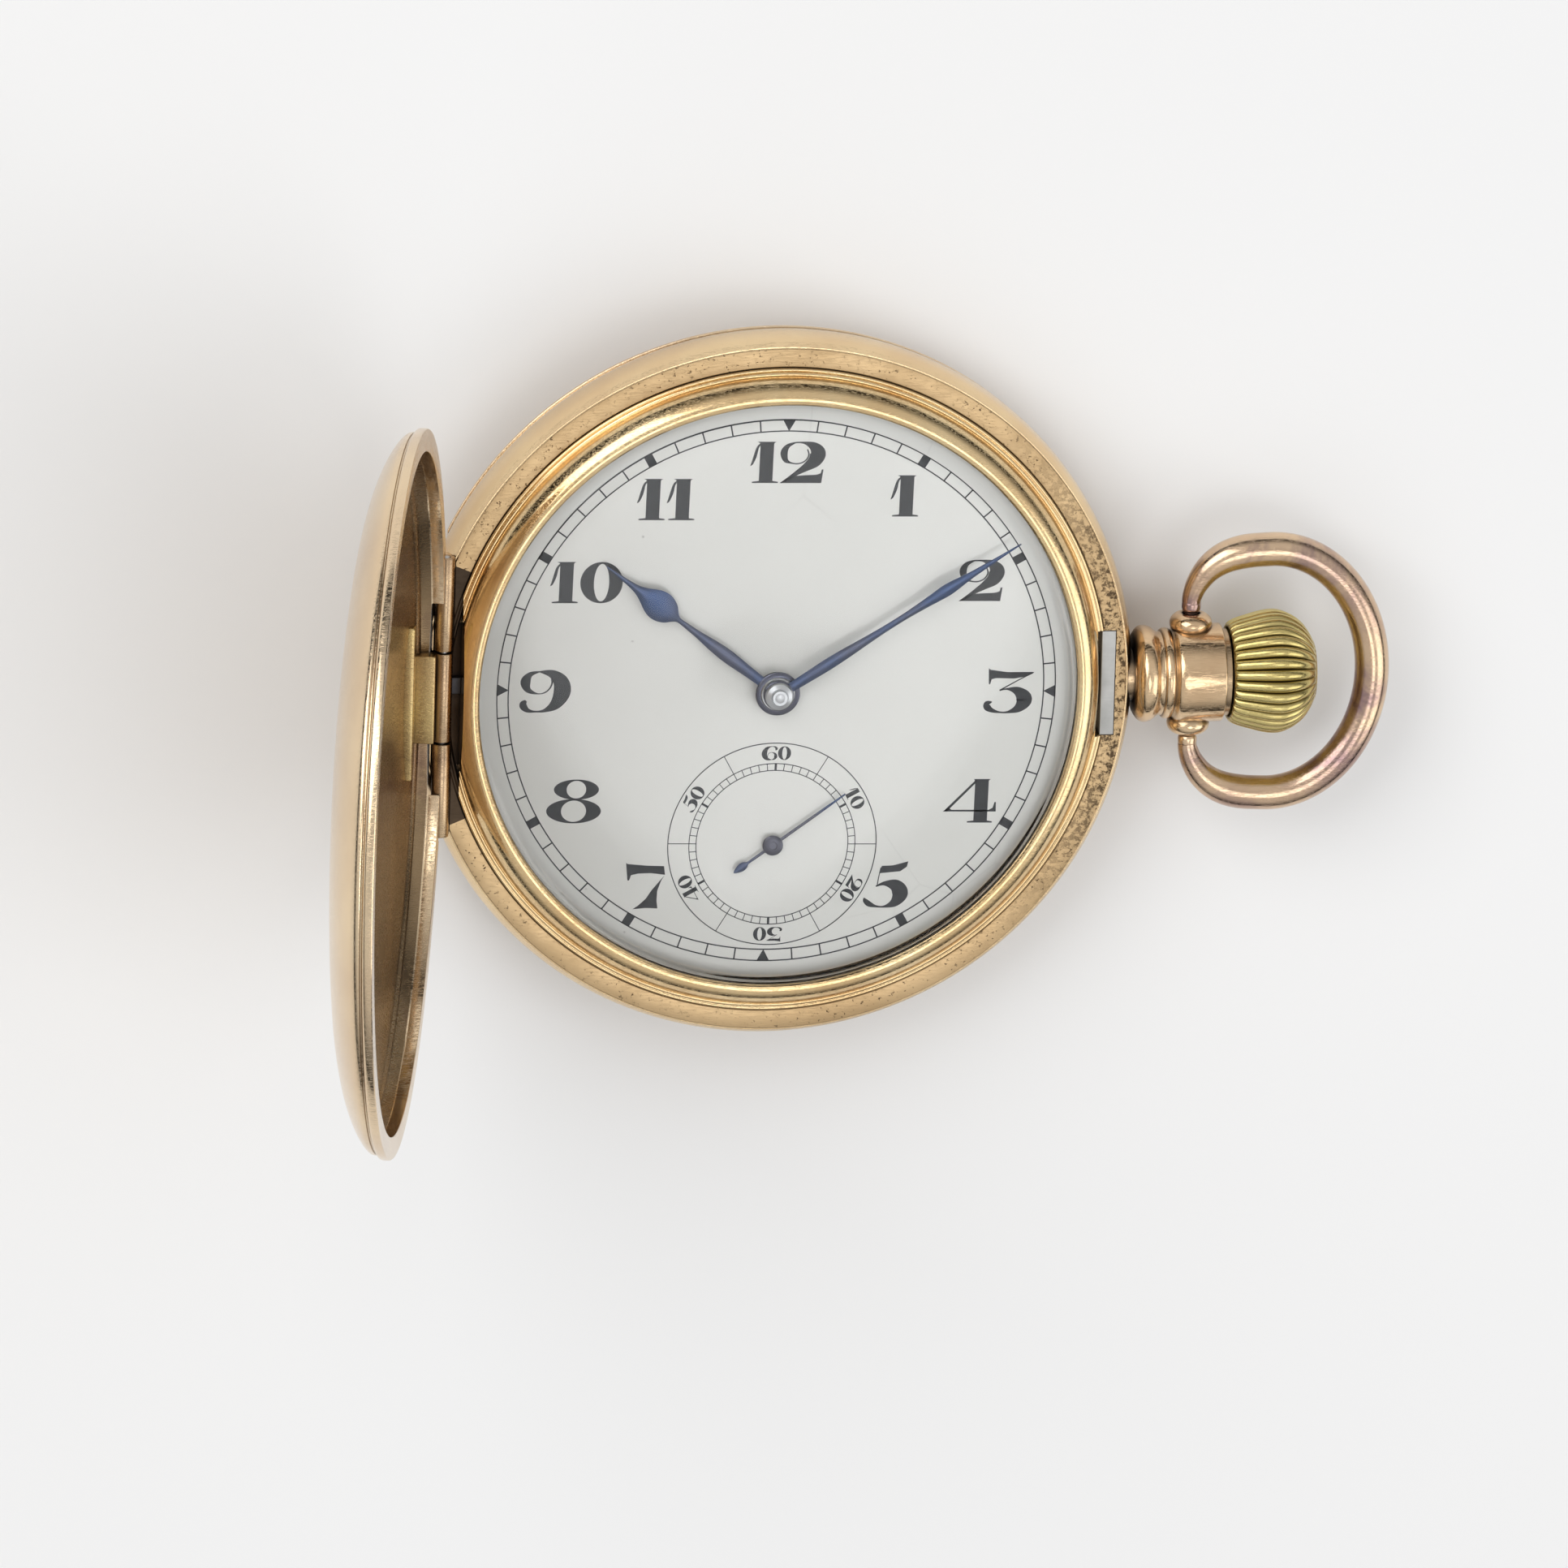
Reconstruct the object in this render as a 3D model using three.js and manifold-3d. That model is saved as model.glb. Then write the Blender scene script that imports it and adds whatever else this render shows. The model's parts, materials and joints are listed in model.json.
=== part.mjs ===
// Hunter pocket watch with its sprung front cover open.
// Millimetres. +X points to the crown at 3 o'clock, +Y to 12 o'clock, +Z out of the dial.
// The origin is the centre of the flat disc in the middle of the back cover.
import * as THREE from 'three';
import { mergeVertices } from 'three/addons/utils/BufferGeometryUtils.js';
import Module from 'manifold-3d';

const wasm = await Module();
wasm.setup();

const RING_SEGMENTS = 36;
const TURN = Math.PI * 2;

// Heights through the watch
const Z_SEAT = 8.2;
const Z_DIAL_TOP = 8.4;
const DIAL_THICK = 0.45;
const Z_PLATE_BOTTOM = 5.2;
const Z_PLATE_TOP = 7.5;
const Z_STEM = 6.1;

// Case radii
const R_BAND = 25.4;
const R_SEAT_OUT = 24.7;
const R_SEAT_IN = 23.15;
const R_BEZEL_OUT = 22.9;
const R_BEZEL_IN = 21.1;
const R_LID = 25.3;
const R_MOVEMENT = 20.6;
const R_DIAL = 21.3;

// Hinges at 9 o'clock
const HINGE_X = -23.5;
const HINGE_Z = 8.3;
const BACK_HINGE_Z = 3.9;
const HINGE_HALF = 10.2;
const BARREL_R = 0.65;
const BARREL_BORE_R = 0.36;
const PIN_R = 0.3;
const LID_KNUCKLE_HALF = 3.25;
const LID_OPEN_ANGLE = THREE.MathUtils.degToRad(104);

// Pendant, crown and bow
const PENDANT_R = 3.45;
const PENDANT_END = 31.75;
const BOW_PIVOT_X = 29.6;
const BOW_PIVOT_HALF = 3.5;
const CROWN_START = 32.3;
const CROWN_END = 38.4;
const CROWN_R = 4.35;
const CROWN_FLUTES = 30;
const STEM_R = 0.6;
const PINION_M = 0.22;

// Going train: teeth, modules and centres
const BARREL = { teeth: 64, m: 0.25, x: 5.79, y: 6.89 };
const CENTRE = { teeth: 48, leaves: 8, m: 0.25333, x: 0, y: 0 };
const THIRD = { teeth: 45, leaves: 6, m: 0.2, x: 2.04, y: -6.53 };
const FOURTH = { teeth: 60, leaves: 6, m: 0.12, x: 0, y: -11.2 };
const ESCAPE = { teeth: 15, leaves: 6, r: 2.6, x: -3.72, y: -9.85 };
const PALLET = { x: -6.37, y: -8.25 };
const BALANCE = { r: 5.0, x: -9.6, y: -6.3 };
const RATCHET = { teeth: 48, m: 0.25 };
const CROWN_WHEEL = { teeth: 30, m: 0.25, x: 12.69, y: 0 };
const MINUTE_WHEEL = { teeth: 36, leaves: 10, x: 2.6, y: 0 };
const CANNON = { leaves: 12, m: 0.10833 };
const HOUR_WHEEL = { teeth: 40, m: 0.104 };

const ROSE_GOLD = { color: 0xc79a6b, roughness: 0.3, metalness: 1 };
const YELLOW_GOLD = { color: 0xc2aa62, roughness: 0.3, metalness: 1 };
const TARNISHED_GOLD = { color: 0x8f7263, roughness: 0.4, metalness: 1 };
const STEEL = { color: 0xa4a6a8, roughness: 0.3, metalness: 1 };
const BLUED_STEEL = { color: 0x2c3566, roughness: 0.25, metalness: 1 };
const BRASS = { color: 0xc2a45c, roughness: 0.35, metalness: 1 };
const NICKEL = { color: 0xb9b5a8, roughness: 0.3, metalness: 1 };
const ENAMEL = { color: 0xe6e6e0, roughness: 0.2, metalness: 0 };
const GLASS = { color: 0xf2f6f6, roughness: 0.05, metalness: 0 };

function toSolid(geometry) {
  const bare = geometry.index ? geometry.toNonIndexed() : geometry.clone();
  bare.deleteAttribute('normal');
  bare.deleteAttribute('uv');
  const merged = mergeVertices(bare, 1e-4);
  const mesh = new wasm.Mesh({
    numProp: 3,
    vertProperties: new Float32Array(merged.attributes.position.array),
    triVerts: new Uint32Array(merged.index.array),
  });
  return new wasm.Manifold(mesh);
}

function toGeometry(solid) {
  const mesh = solid.getMesh();
  const positions = new Float32Array(mesh.numVert * 3);
  for (let i = 0; i < mesh.numVert; i += 1) {
    for (let k = 0; k < 3; k += 1) {
      positions[i * 3 + k] = mesh.vertProperties[i * mesh.numProp + k];
    }
  }
  const geometry = new THREE.BufferGeometry();
  geometry.setAttribute('position', new THREE.BufferAttribute(positions, 3));
  geometry.setIndex(Array.from(mesh.triVerts));
  return geometry;
}

function finish(name, solid, look) {
  const flat = toGeometry(solid).toNonIndexed();
  flat.computeVertexNormals();
  const material = new THREE.MeshStandardMaterial(look);
  const mesh = new THREE.Mesh(flat, material);
  mesh.name = name;
  return mesh;
}

// A solid turned about the Z axis from [radius, height] pairs that close on themselves.
function turned(pairs, segments = RING_SEGMENTS) {
  const points = pairs.map(([r, z]) => new THREE.Vector2(r, z));
  points.push(points[0].clone());
  const area = THREE.ShapeUtils.area(points);
  if (area < 0) points.reverse();
  const geometry = new THREE.LatheGeometry(points, segments);
  geometry.rotateX(Math.PI / 2);
  return outward(toSolid(geometry), geometry);
}

// A solid turned about the Z axis whose profile starts and ends on the axis.
function turnedFull(pairs, segments = RING_SEGMENTS) {
  const points = pairs.map(([r, z]) => new THREE.Vector2(r, z));
  const geometry = new THREE.LatheGeometry(points, segments);
  geometry.rotateX(Math.PI / 2);
  return outward(toSolid(geometry), geometry);
}

// Turn the faces round where the profile ran the other way.
function outward(solid, geometry) {
  if (solid.volume() > 0) return solid;
  const flipped = geometry.toNonIndexed();
  const p = flipped.attributes.position;
  for (let i = 0; i < p.count; i += 3) {
    const a = new THREE.Vector3().fromBufferAttribute(p, i + 1);
    const b = new THREE.Vector3().fromBufferAttribute(p, i + 2);
    p.setXYZ(i + 1, b.x, b.y, b.z);
    p.setXYZ(i + 2, a.x, a.y, a.z);
  }
  return toSolid(flipped);
}

function box(x0, x1, y0, y1, z0, z1) {
  const geometry = new THREE.BoxGeometry(x1 - x0, y1 - y0, z1 - z0);
  geometry.translate((x0 + x1) / 2, (y0 + y1) / 2, (z0 + z1) / 2);
  return toSolid(geometry);
}

function disc(x, y, r, z0, z1, segments = 14) {
  const geometry = new THREE.CylinderGeometry(r, r, z1 - z0, segments);
  geometry.rotateX(Math.PI / 2);
  geometry.translate(x, y, (z0 + z1) / 2);
  return toSolid(geometry);
}

function rodY(x, z, r, y0, y1, segments = 10) {
  const geometry = new THREE.CylinderGeometry(r, r, y1 - y0, segments);
  geometry.translate(x, (y0 + y1) / 2, z);
  return toSolid(geometry);
}

// A solid turned about the stem's axis from [distance from the centre, radius] pairs.
function turnedX(pairs, segments = 32) {
  const points = pairs.map(([x, r]) => new THREE.Vector2(r, x));
  const geometry = new THREE.LatheGeometry(points, segments);
  geometry.rotateZ(-Math.PI / 2);
  geometry.translate(0, 0, Z_STEM);
  return outward(toSolid(geometry), geometry);
}

function extruded(points, z0, z1) {
  const shape = new THREE.Shape(points.map(([x, y]) => new THREE.Vector2(x, y)));
  const geometry = new THREE.ExtrudeGeometry(shape, { depth: z1 - z0, bevelEnabled: false });
  geometry.translate(0, 0, z0);
  return outward(toSolid(geometry), geometry);
}

function at(solid, x, y, z = 0) {
  return solid.translate([x, y, z]);
}

function turn(points, angle) {
  const c = Math.cos(angle);
  const s = Math.sin(angle);
  return points.map(([x, y]) => [x * c - y * s, x * s + y * c]);
}

// Outline of a gear: a tooth is centred on the direction given.
function gearOutline(teeth, m, direction) {
  const pitch = TURN / teeth;
  const pitchR = (m * teeth) / 2;
  const points = [];
  for (let i = 0; i < teeth; i += 1) {
    const a = direction + i * pitch;
    for (const [shift, r] of [[0, pitchR + 0.7 * m], [0.5, pitchR - 1.1 * m]]) {
      points.push([r * Math.cos(a + shift * pitch), r * Math.sin(a + shift * pitch)]);
    }
  }
  return points;
}

function gear(teeth, m, direction, x, y, z0, z1) {
  return at(extruded(gearOutline(teeth, m, direction), z0, z1), x, y);
}

function directionTo(a, b) {
  return Math.atan2(b.y - a.y, b.x - a.x);
}

// The direction of a tooth on gear b when gear a has a tooth pointing at b.
function meshed(a, b, teethB) {
  return directionTo(b, a) + Math.PI / teethB;
}

// A spoked web: three openings between hub and rim.
function spokes(solid, x, y, hubR, rimR, z0, z1, count = 3) {
  let result = solid;
  const gap = TURN / count;
  for (let i = 0; i < count; i += 1) {
    const mid = i * gap + 0.3;
    const points = [];
    const half = gap * 0.36;
    for (let k = 0; k <= 4; k += 1) {
      const a = mid - half + (2 * half * k) / 4;
      points.push([rimR * Math.cos(a), rimR * Math.sin(a)]);
    }
    for (let k = 1; k >= 0; k -= 1) {
      const a = mid - half * 0.5 + half * k;
      points.push([hubR * Math.cos(a), hubR * Math.sin(a)]);
    }
    result = result.subtract(at(extruded(points, z0 - 0.1, z1 + 0.1), x, y));
  }
  return result;
}

// Rotate a solid made in the closed position about the front hinge to where it stands open.
function opened(solid) {
  const degrees = THREE.MathUtils.radToDeg(LID_OPEN_ANGLE);
  const moved = solid.translate([-HINGE_X, 0, -HINGE_Z]);
  return moved.rotate([0, -degrees, 0]).translate([HINGE_X, 0, HINGE_Z]);
}

function caseMiddle() {
  let ring = turned([
    [21.9, 4.05], [24.9, 4.05], [25.3, 4.8], [R_BAND, 6.2], [25.15, 7.7], [R_SEAT_OUT, Z_SEAT],
    [R_SEAT_IN, Z_SEAT], [22.96, 7.7], [21.5, 7.7], [21.5, 7.6], [20.75, 7.6], [20.75, 5.1],
    [21.9, 5.1],
  ]);
  const reach = HINGE_HALF + 0.2;
  ring = ring.subtract(box(-27, -24.25, -reach, reach, 3, 9));
  ring = ring.subtract(rodY(HINGE_X, HINGE_Z, 0.75, -reach, reach));
  ring = ring.subtract(rodY(HINGE_X, BACK_HINGE_Z, 0.75, -reach, reach));
  ring = ring.subtract(box(-27, -22.9, -3.35, 3.35, 7.4, 9));
  ring = ring.subtract(box(-27, -22.9, -4.85, 4.85, 3, 4.8));
  for (const side of [-1, 1]) {
    const near = side * 3.35;
    const far = side * HINGE_HALF;
    ring = ring.add(rodY(HINGE_X, HINGE_Z, BARREL_R, Math.min(near, far), Math.max(near, far)));
    ring = ring.add(box(-23.95, -23.05, Math.min(near, far), Math.max(near, far), 7.2, 8.0));
    const backNear = side * 4.85;
    ring = ring.add(rodY(HINGE_X, BACK_HINGE_Z, BARREL_R,
      Math.min(backNear, far), Math.max(backNear, far)));
    ring = ring.add(box(-23.95, -23.05, Math.min(backNear, far), Math.max(backNear, far), 4.2, 5.1));
  }
  ring = ring.subtract(rodY(HINGE_X, HINGE_Z, BARREL_BORE_R, -11, 11));
  ring = ring.subtract(rodY(HINGE_X, BACK_HINGE_Z, BARREL_BORE_R, -11, 11));
  ring = ring.subtract(springArc(20, 21.6, 5.15, 7.0, 0.06));
  ring = ring.subtract(box(22.92, 24.05, -3.9, 3.9, 6.9, 9));
  ring = ring.subtract(turnedX([[19, 0], [19, 0.8], [24.2, 0.8], [24.2, 1.95], [27, 1.95], [27, 0]], 24));
  return ring;
}

function pendant() {
  let tube = turnedX([
    [24.25, 0], [24.25, 1.88], [25.5, 1.88], [25.55, 2.7], [26.2, 3.4], [27.3, 2.95],
    [28.0, 3.1], [28.5, PENDANT_R], [PENDANT_END, PENDANT_R], [PENDANT_END, 2.3], [33.2, 2.3],
    [33.2, 0],
  ], 24);
  for (const side of [-1, 1]) {
    const boss = new THREE.SphereGeometry(1.45, 12, 8);
    boss.scale(1, 0.85, 1);
    boss.translate(BOW_PIVOT_X, side * BOW_PIVOT_HALF, Z_STEM);
    tube = tube.add(toSolid(boss));
    const from = side * 3.1;
    const to = side * 6;
    tube = tube.subtract(rodY(BOW_PIVOT_X, Z_STEM, 0.62, Math.min(from, to), Math.max(from, to)));
  }
  const bore = [[23, 0], [23, 0.8], [34, 0.8], [34, 0]];
  return tube.subtract(turnedX(bore, 16));
}

class BowCentreLine extends THREE.Curve {
  getPoint(t, target = new THREE.Vector3()) {
    const angle = THREE.MathUtils.lerp(-2.48, 2.48, t);
    return target.set(35.3 + 7.2 * Math.cos(angle), 8.55 * Math.sin(angle), Z_STEM);
  }
}

// The bow is thin where it enters the pendant and thick at its far side.
function bow() {
  const line = new BowCentreLine();
  const steps = 20;
  const outline = new THREE.Shape();
  outline.absarc(0, 0, 1, 0, TURN, false);
  const geometry = new THREE.ExtrudeGeometry(outline, {
    steps, curveSegments: 5, extrudePath: line, bevelEnabled: false,
  });
  const middles = line.getSpacedPoints(steps);
  const p = geometry.attributes.position;
  const v = new THREE.Vector3();
  for (let i = 0; i < p.count; i += 1) {
    v.fromBufferAttribute(p, i);
    let best = 0;
    for (let k = 1; k <= steps; k += 1) {
      if (middles[k].distanceToSquared(v) < middles[best].distanceToSquared(v)) best = k;
    }
    const away = Math.abs(best / steps - 0.5) * 2;
    const r = THREE.MathUtils.lerp(1.2, 0.62, away ** 1.6);
    v.sub(middles[best]).multiplyScalar(r).add(middles[best]);
    p.setXYZ(i, v.x, v.y, v.z);
  }
  let solid = outward(toSolid(geometry), geometry);
  for (const side of [-1, 1]) {
    const from = side * 3.25;
    const to = side * 5.3;
    solid = solid.add(rodY(BOW_PIVOT_X, Z_STEM, 0.52, Math.min(from, to), Math.max(from, to), 12));
    const collar = new THREE.SphereGeometry(0.72, 10, 6);
    collar.translate(BOW_PIVOT_X, side * 5.25, Z_STEM);
    solid = solid.add(toSolid(collar));
  }
  return solid;
}

// Fluted onion crown with a pocket that slides over the pendant's end.
function crown() {
  const profile = [[CROWN_START, 0], [CROWN_START, 3.3], [32.8, 3.7], [34.6, CROWN_R], [36.2, 4.3],
    [37.6, 3.6], [CROWN_END, 1.8], [CROWN_END, 0]];
  const points = profile.map(([x, r]) => new THREE.Vector2(r, x));
  const geometry = new THREE.LatheGeometry(points, CROWN_FLUTES * 2);
  geometry.rotateZ(-Math.PI / 2);
  const p = geometry.attributes.position;
  for (let i = 0; i < p.count; i += 1) {
    const around = Math.round((Math.atan2(p.getZ(i), p.getY(i)) / TURN) * CROWN_FLUTES * 2);
    const along = p.getX(i);
    const fluted = along > 32.6 && along < 38.0;
    const scale = Math.abs(around) % 2 === 1 && fluted ? 0.93 : 1;
    p.setXYZ(i, along, p.getY(i) * scale, p.getZ(i) * scale);
  }
  geometry.translate(0, 0, Z_STEM);
  const solid = outward(toSolid(geometry), geometry);
  const pocket = turnedX([[31, 0], [31, 2.55], [34.0, 2.55], [34.0, 0.66], [36.8, 0.66], [36.8, 0]], 20);
  return solid.subtract(pocket);
}

function windingStem() {
  return turnedX([[11.3, 0], [11.3, 0.3], [12.6, 0.3], [12.6, 0.5], [18.2, 0.5], [18.2, STEM_R],
    [36.2, STEM_R], [36.2, 0]], 16);
}

function windingPinion() {
  const outline = gearOutline(14, PINION_M, 0);
  const body = extruded(outline, 15.3, 16.5).rotate([0, 90, 0]).translate([0, 0, Z_STEM]);
  const bore = turnedX([[15, 0], [15, 0.62], [17, 0.62], [17, 0]], 16);
  return body.subtract(bore);
}

function slidingPinion() {
  const outline = gearOutline(12, PINION_M, 0);
  const body = extruded(outline, 13.9, 15.15).rotate([0, 90, 0]).translate([0, 0, Z_STEM]);
  const groove = turned([[1.05, 14.3], [2.2, 14.3], [2.2, 14.7], [1.05, 14.7]], 20)
    .rotate([0, 90, 0]).translate([0, 0, Z_STEM]);
  const bore = turnedX([[13, 0], [13, 0.62], [17, 0.62], [17, 0]], 16);
  return body.subtract(bore).subtract(groove);
}

function frontBezel() {
  const ring = turned([
    [R_BEZEL_OUT, 7.75], [R_BEZEL_OUT, 8.35], [22.6, 9.3], [21.85, 9.95], [R_BEZEL_IN, 9.72],
    [R_BEZEL_IN, 9.45], [21.6, 9.45], [21.6, 9.0], [21.42, 9.0], [21.42, 7.75],
  ]);
  return ring.subtract(box(-24, -21.95, -9, 9, 7, 10.1));
}

function crystal() {
  return turnedFull([[0, 10.95], [12, 10.75], [19.8, 10.15], [20.9, 9.07], [21.5, 9.07], [21.5, 9.37],
    [21.02, 9.4], [20.3, 10.5], [12, 11.1], [0, 11.3]]);
}

// The front cover, made closed over the dial.
function frontCover() {
  let shell = turnedFull([
    [0, 12.25], [10, 12.12], [17.5, 11.5], [21.6, 10.6], [23.3, 9.8], [23.75, 9.1], [23.75, 8.25],
    [R_LID, 8.25], [25.36, 8.75], [24.98, 9.12], [24.9, 9.45], [23.75, 10.4], [21.2, 11.4],
    [17.6, 12.05], [10, 12.58], [0, 12.7],
  ]);
  shell = shell.subtract(box(-27, -22.75, -12, 12, 7, 12));
  const boss = box(-22.95, -20.6, -5.6, 5.6, 10.05, 10.95);
  const web = box(-23.65, -22.1, -LID_KNUCKLE_HALF, LID_KNUCKLE_HALF, 8.7, 10.6);
  const knuckle = rodY(HINGE_X, HINGE_Z, BARREL_R, -LID_KNUCKLE_HALF, LID_KNUCKLE_HALF);
  const solid = shell.add(boss).add(web).add(knuckle);
  return solid.subtract(rodY(HINGE_X, HINGE_Z, BARREL_BORE_R, -4, 4));
}

function backCover() {
  let shell = turnedFull([
    [0, 0], [9.6, 0], [16, 0.32], [20.5, 1.05], [23.2, 2.15], [25.0, 3.6], [25.2, 4.0], [23.6, 4.0],
    [23.4, 3.4], [22.4, 2.45], [20.0, 1.5], [16, 0.8], [9.6, 0.45], [0, 0.45],
  ]);
  shell = shell.subtract(box(-27, -22.75, -12, 12, -1, 5));
  let solid = shell;
  for (const [y0, y1] of [[-4.75, -1.6], [1.6, 4.75]]) {
    solid = solid.add(rodY(HINGE_X, BACK_HINGE_Z, BARREL_R, y0, y1));
    solid = solid.add(box(-23.7, -22.3, y0, y1, 2.2, 3.45));
  }
  return solid.subtract(rodY(HINGE_X, BACK_HINGE_Z, BARREL_BORE_R, -5, 5));
}

function innerCover() {
  const shell = turnedFull([
    [0, 1.15], [15.5, 1.15], [19.2, 1.5], [20.7, 2.5], [21.3, 3.4], [21.75, 3.6], [21.75, 4.4],
    [21.35, 4.4], [21.3, 3.8], [20.9, 3.55], [20.4, 2.75], [19.0, 1.82], [15.4, 1.45], [0, 1.45],
  ]);
  const arm = box(-23.6, -21.2, -1.45, 1.45, 3.45, 3.92);
  const knuckle = rodY(HINGE_X, BACK_HINGE_Z, BARREL_R, -1.45, 1.45);
  const solid = shell.add(arm).add(knuckle);
  return solid.subtract(rodY(HINGE_X, BACK_HINGE_Z, BARREL_BORE_R, -2, 2));
}

function hingePin(z) {
  return rodY(HINGE_X, z, PIN_R, -HINGE_HALF, HINGE_HALF, 12);
}

// An arc of the case wall behind the front hinge, where the spring that throws the cover open lies.
function springArc(inner, outer, z0, z1, extra = 0) {
  const points = [];
  const from = Math.PI + 0.28 - extra;
  const sweep = 0.62 + 2 * extra;
  for (let k = 0; k <= 8; k += 1) {
    const a = from + (k * sweep) / 8;
    points.push([outer * Math.cos(a), outer * Math.sin(a)]);
  }
  for (let k = 8; k >= 0; k -= 1) {
    const a = from + (k * sweep) / 8;
    points.push([inner * Math.cos(a), inner * Math.sin(a)]);
  }
  return extruded(points, z0, z1);
}

function flySpring() {
  return springArc(20.85, 21.4, 5.3, 6.9);
}

function lockSpring() {
  const face = box(23.3, 23.95, -3.75, 3.75, 7.0, 8.22);
  return face;
}

function caseScrew(angle) {
  const x = 20.0 * Math.cos(angle);
  const y = 20.0 * Math.sin(angle);
  const head = disc(x, y, 1.15, 4.55, 5.05, 16);
  const shank = disc(x, y, 0.45, 5.0, 6.6, 12);
  return slotted(head.add(shank), x, y, 4.55, 1.2, angle);
}

function slotted(solid, x, y, z, r, angle) {
  const cut = box(-r - 0.1, r + 0.1, -0.12, 0.12, z - 0.1, z + 0.18);
  return solid.subtract(cut.rotate([0, 0, THREE.MathUtils.radToDeg(angle)]).translate([x, y, 0]));
}

function screw(x, y, headZ, headR, shankTo, angle) {
  const head = disc(x, y, headR, headZ, headZ + 0.45, 12);
  const shank = disc(x, y, headR * 0.5, headZ + 0.4, shankTo, 8);
  return slotted(head.add(shank), x, y, headZ, headR, angle);
}

// Screws: place, head underside, head radius and end of the shank.
const SCREWS = [
  ['barrel_bridge_screw_1', 14.6, 10.6, 2.1, 0.85, 6.4, 0.5],
  ['barrel_bridge_screw_2', -3.6, 16.4, 2.1, 0.85, 6.4, 1.4],
  ['train_bridge_screw_1', 9.6, -11.6, 2.1, 0.85, 6.4, 2.2],
  ['balance_cock_screw', -12.5, -12.3, 1.9, 0.8, 6.4, 1.9],
  ['pallet_bridge_screw', -7.6, -11.6, 3.75, 0.6, 6.2, 0.2],
];

function screwHoles(solid, names, z0, z1, extra = 0.06) {
  let result = solid;
  for (const [name, x, y, headZ, headR, shankTo] of SCREWS) {
    if (names.includes(name)) {
      result = result.subtract(disc(x, y, headR * 0.5 + extra, z0, Math.min(z1, shankTo + 0.2), 8));
      result = result.subtract(disc(x, y, headR + 0.08, z0 - 3, headZ + 0.47, 12));
    }
  }
  return result;
}

function mainPlate() {
  let plate = disc(0, 0, R_MOVEMENT, Z_PLATE_BOTTOM, Z_PLATE_TOP, RING_SEGMENTS);
  const r = (BARREL.m * BARREL.teeth) / 2 + 0.5;
  plate = plate.subtract(disc(BARREL.x, BARREL.y, r, 4, 6.3, 28));
  plate = plate.subtract(disc(0, 0, 5.2, 6.65, 8, 24));
  plate = plate.subtract(box(2, 12.6, -2.3, 2.3, 6.65, 8));
  plate = plate.subtract(box(13.3, 17.2, -2.15, 2.15, 4, 8));
  plate = plate.subtract(turnedX([[10.9, 0], [10.9, 0.72], [22, 0.72], [22, 0]], 16));
  plate = plate.subtract(disc(0, 0, 0.62, 4, 8, 12));
  for (const wheel of [THIRD, FOURTH, ESCAPE, PALLET, BALANCE]) {
    plate = plate.subtract(disc(wheel.x, wheel.y, 0.32, 4, wheel === FOURTH ? 8 : 6.2, 8));
  }
  for (const [x, y] of [[-14.2, 12.2], [12.6, -14.0]]) {
    plate = plate.subtract(disc(x, y, 0.45, 6.2, 8, 8));
  }
  for (const angle of [2.0, 5.6]) {
    plate = plate.subtract(disc(20 * Math.cos(angle), 20 * Math.sin(angle), 0.5, 4, 6.8, 8));
  }
  plate = plate.subtract(disc(MINUTE_WHEEL.x, 0, 0.36, 6.4, 8, 8));
  for (const x of [6.5, 10.4]) plate = plate.subtract(disc(x, 0, 0.36, 6.35, 8, 8));
  plate = plate.subtract(disc(13.6, -6.4, 0.42, 4, 6.3, 8));
  return screwHoles(plate, SCREWS.map(([name]) => name), 5, 8, 0.05);
}

// A bridge: a plate over the wheels with feet that stand on the main plate.
function bridge(points, z0, z1, feet) {
  let solid = extruded(points, z0, z1);
  for (const [x, y, r] of feet) solid = solid.add(disc(x, y, r, z0 + 0.1, Z_PLATE_BOTTOM - 0.02, 20));
  return solid;
}

function smooth(points, steps = 3) {
  const curve = new THREE.CatmullRomCurve3(points.map(([x, y]) => new THREE.Vector3(x, y, 0)), true,
    'catmullrom', 0.5);
  return curve.getPoints(points.length * steps).slice(0, -1).map((p) => [p.x, p.y]);
}

function barrelBridge() {
  const outline = smooth([[-2.4, -0.4], [-4.6, 8.0], [-6.4, 16.2], [0, 19.4], [8, 17.6], [15.6, 11.4],
    [18.9, 4.4], [18.3, -3.4], [12.8, -6.8], [9.2, -6.3], [4.6, -3.8], [0.4, -2.4]]);
  let solid = bridge(outline, 2.55, 3.35, [[14.9, 10.9, 1.5], [-3.8, 16.7, 1.6], [10.6, -5.4, 0.9]]);
  solid = solid.subtract(disc(0, 0, 0.62, 2, 4, 16));
  solid = solid.subtract(disc(BARREL.x, BARREL.y, 1.25, 2, 4, 20));
  solid = solid.subtract(disc(CROWN_WHEEL.x, 0, 4.05, 2, 6, 24));
  solid = solid.subtract(disc(-2.7, 9.6, 0.4, 2.3, 4, 10));
  return screwHoles(solid, ['barrel_bridge_screw_1', 'barrel_bridge_screw_2'], 2, 8);
}

function trainBridge() {
  const outline = smooth([[0.2, -4.0], [4.6, -5.0], [8.8, -8.2], [11.6, -11.4], [9.9, -14.6],
    [5.4, -16.4], [1.4, -14.6], [-2.6, -12.8], [-5.0, -11.4], [-4.4, -8.8], [-1.4, -6.6]]);
  let solid = bridge(outline, 2.55, 3.25, [[9.6, -11.7, 1.5], [5.4, -15.0, 1.0]]);
  for (const wheel of [THIRD, FOURTH, ESCAPE]) {
    solid = solid.subtract(disc(wheel.x, wheel.y, 0.3, 2, 4, 8));
  }
  return screwHoles(solid, ['train_bridge_screw_1'], 2, 8);
}

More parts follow.
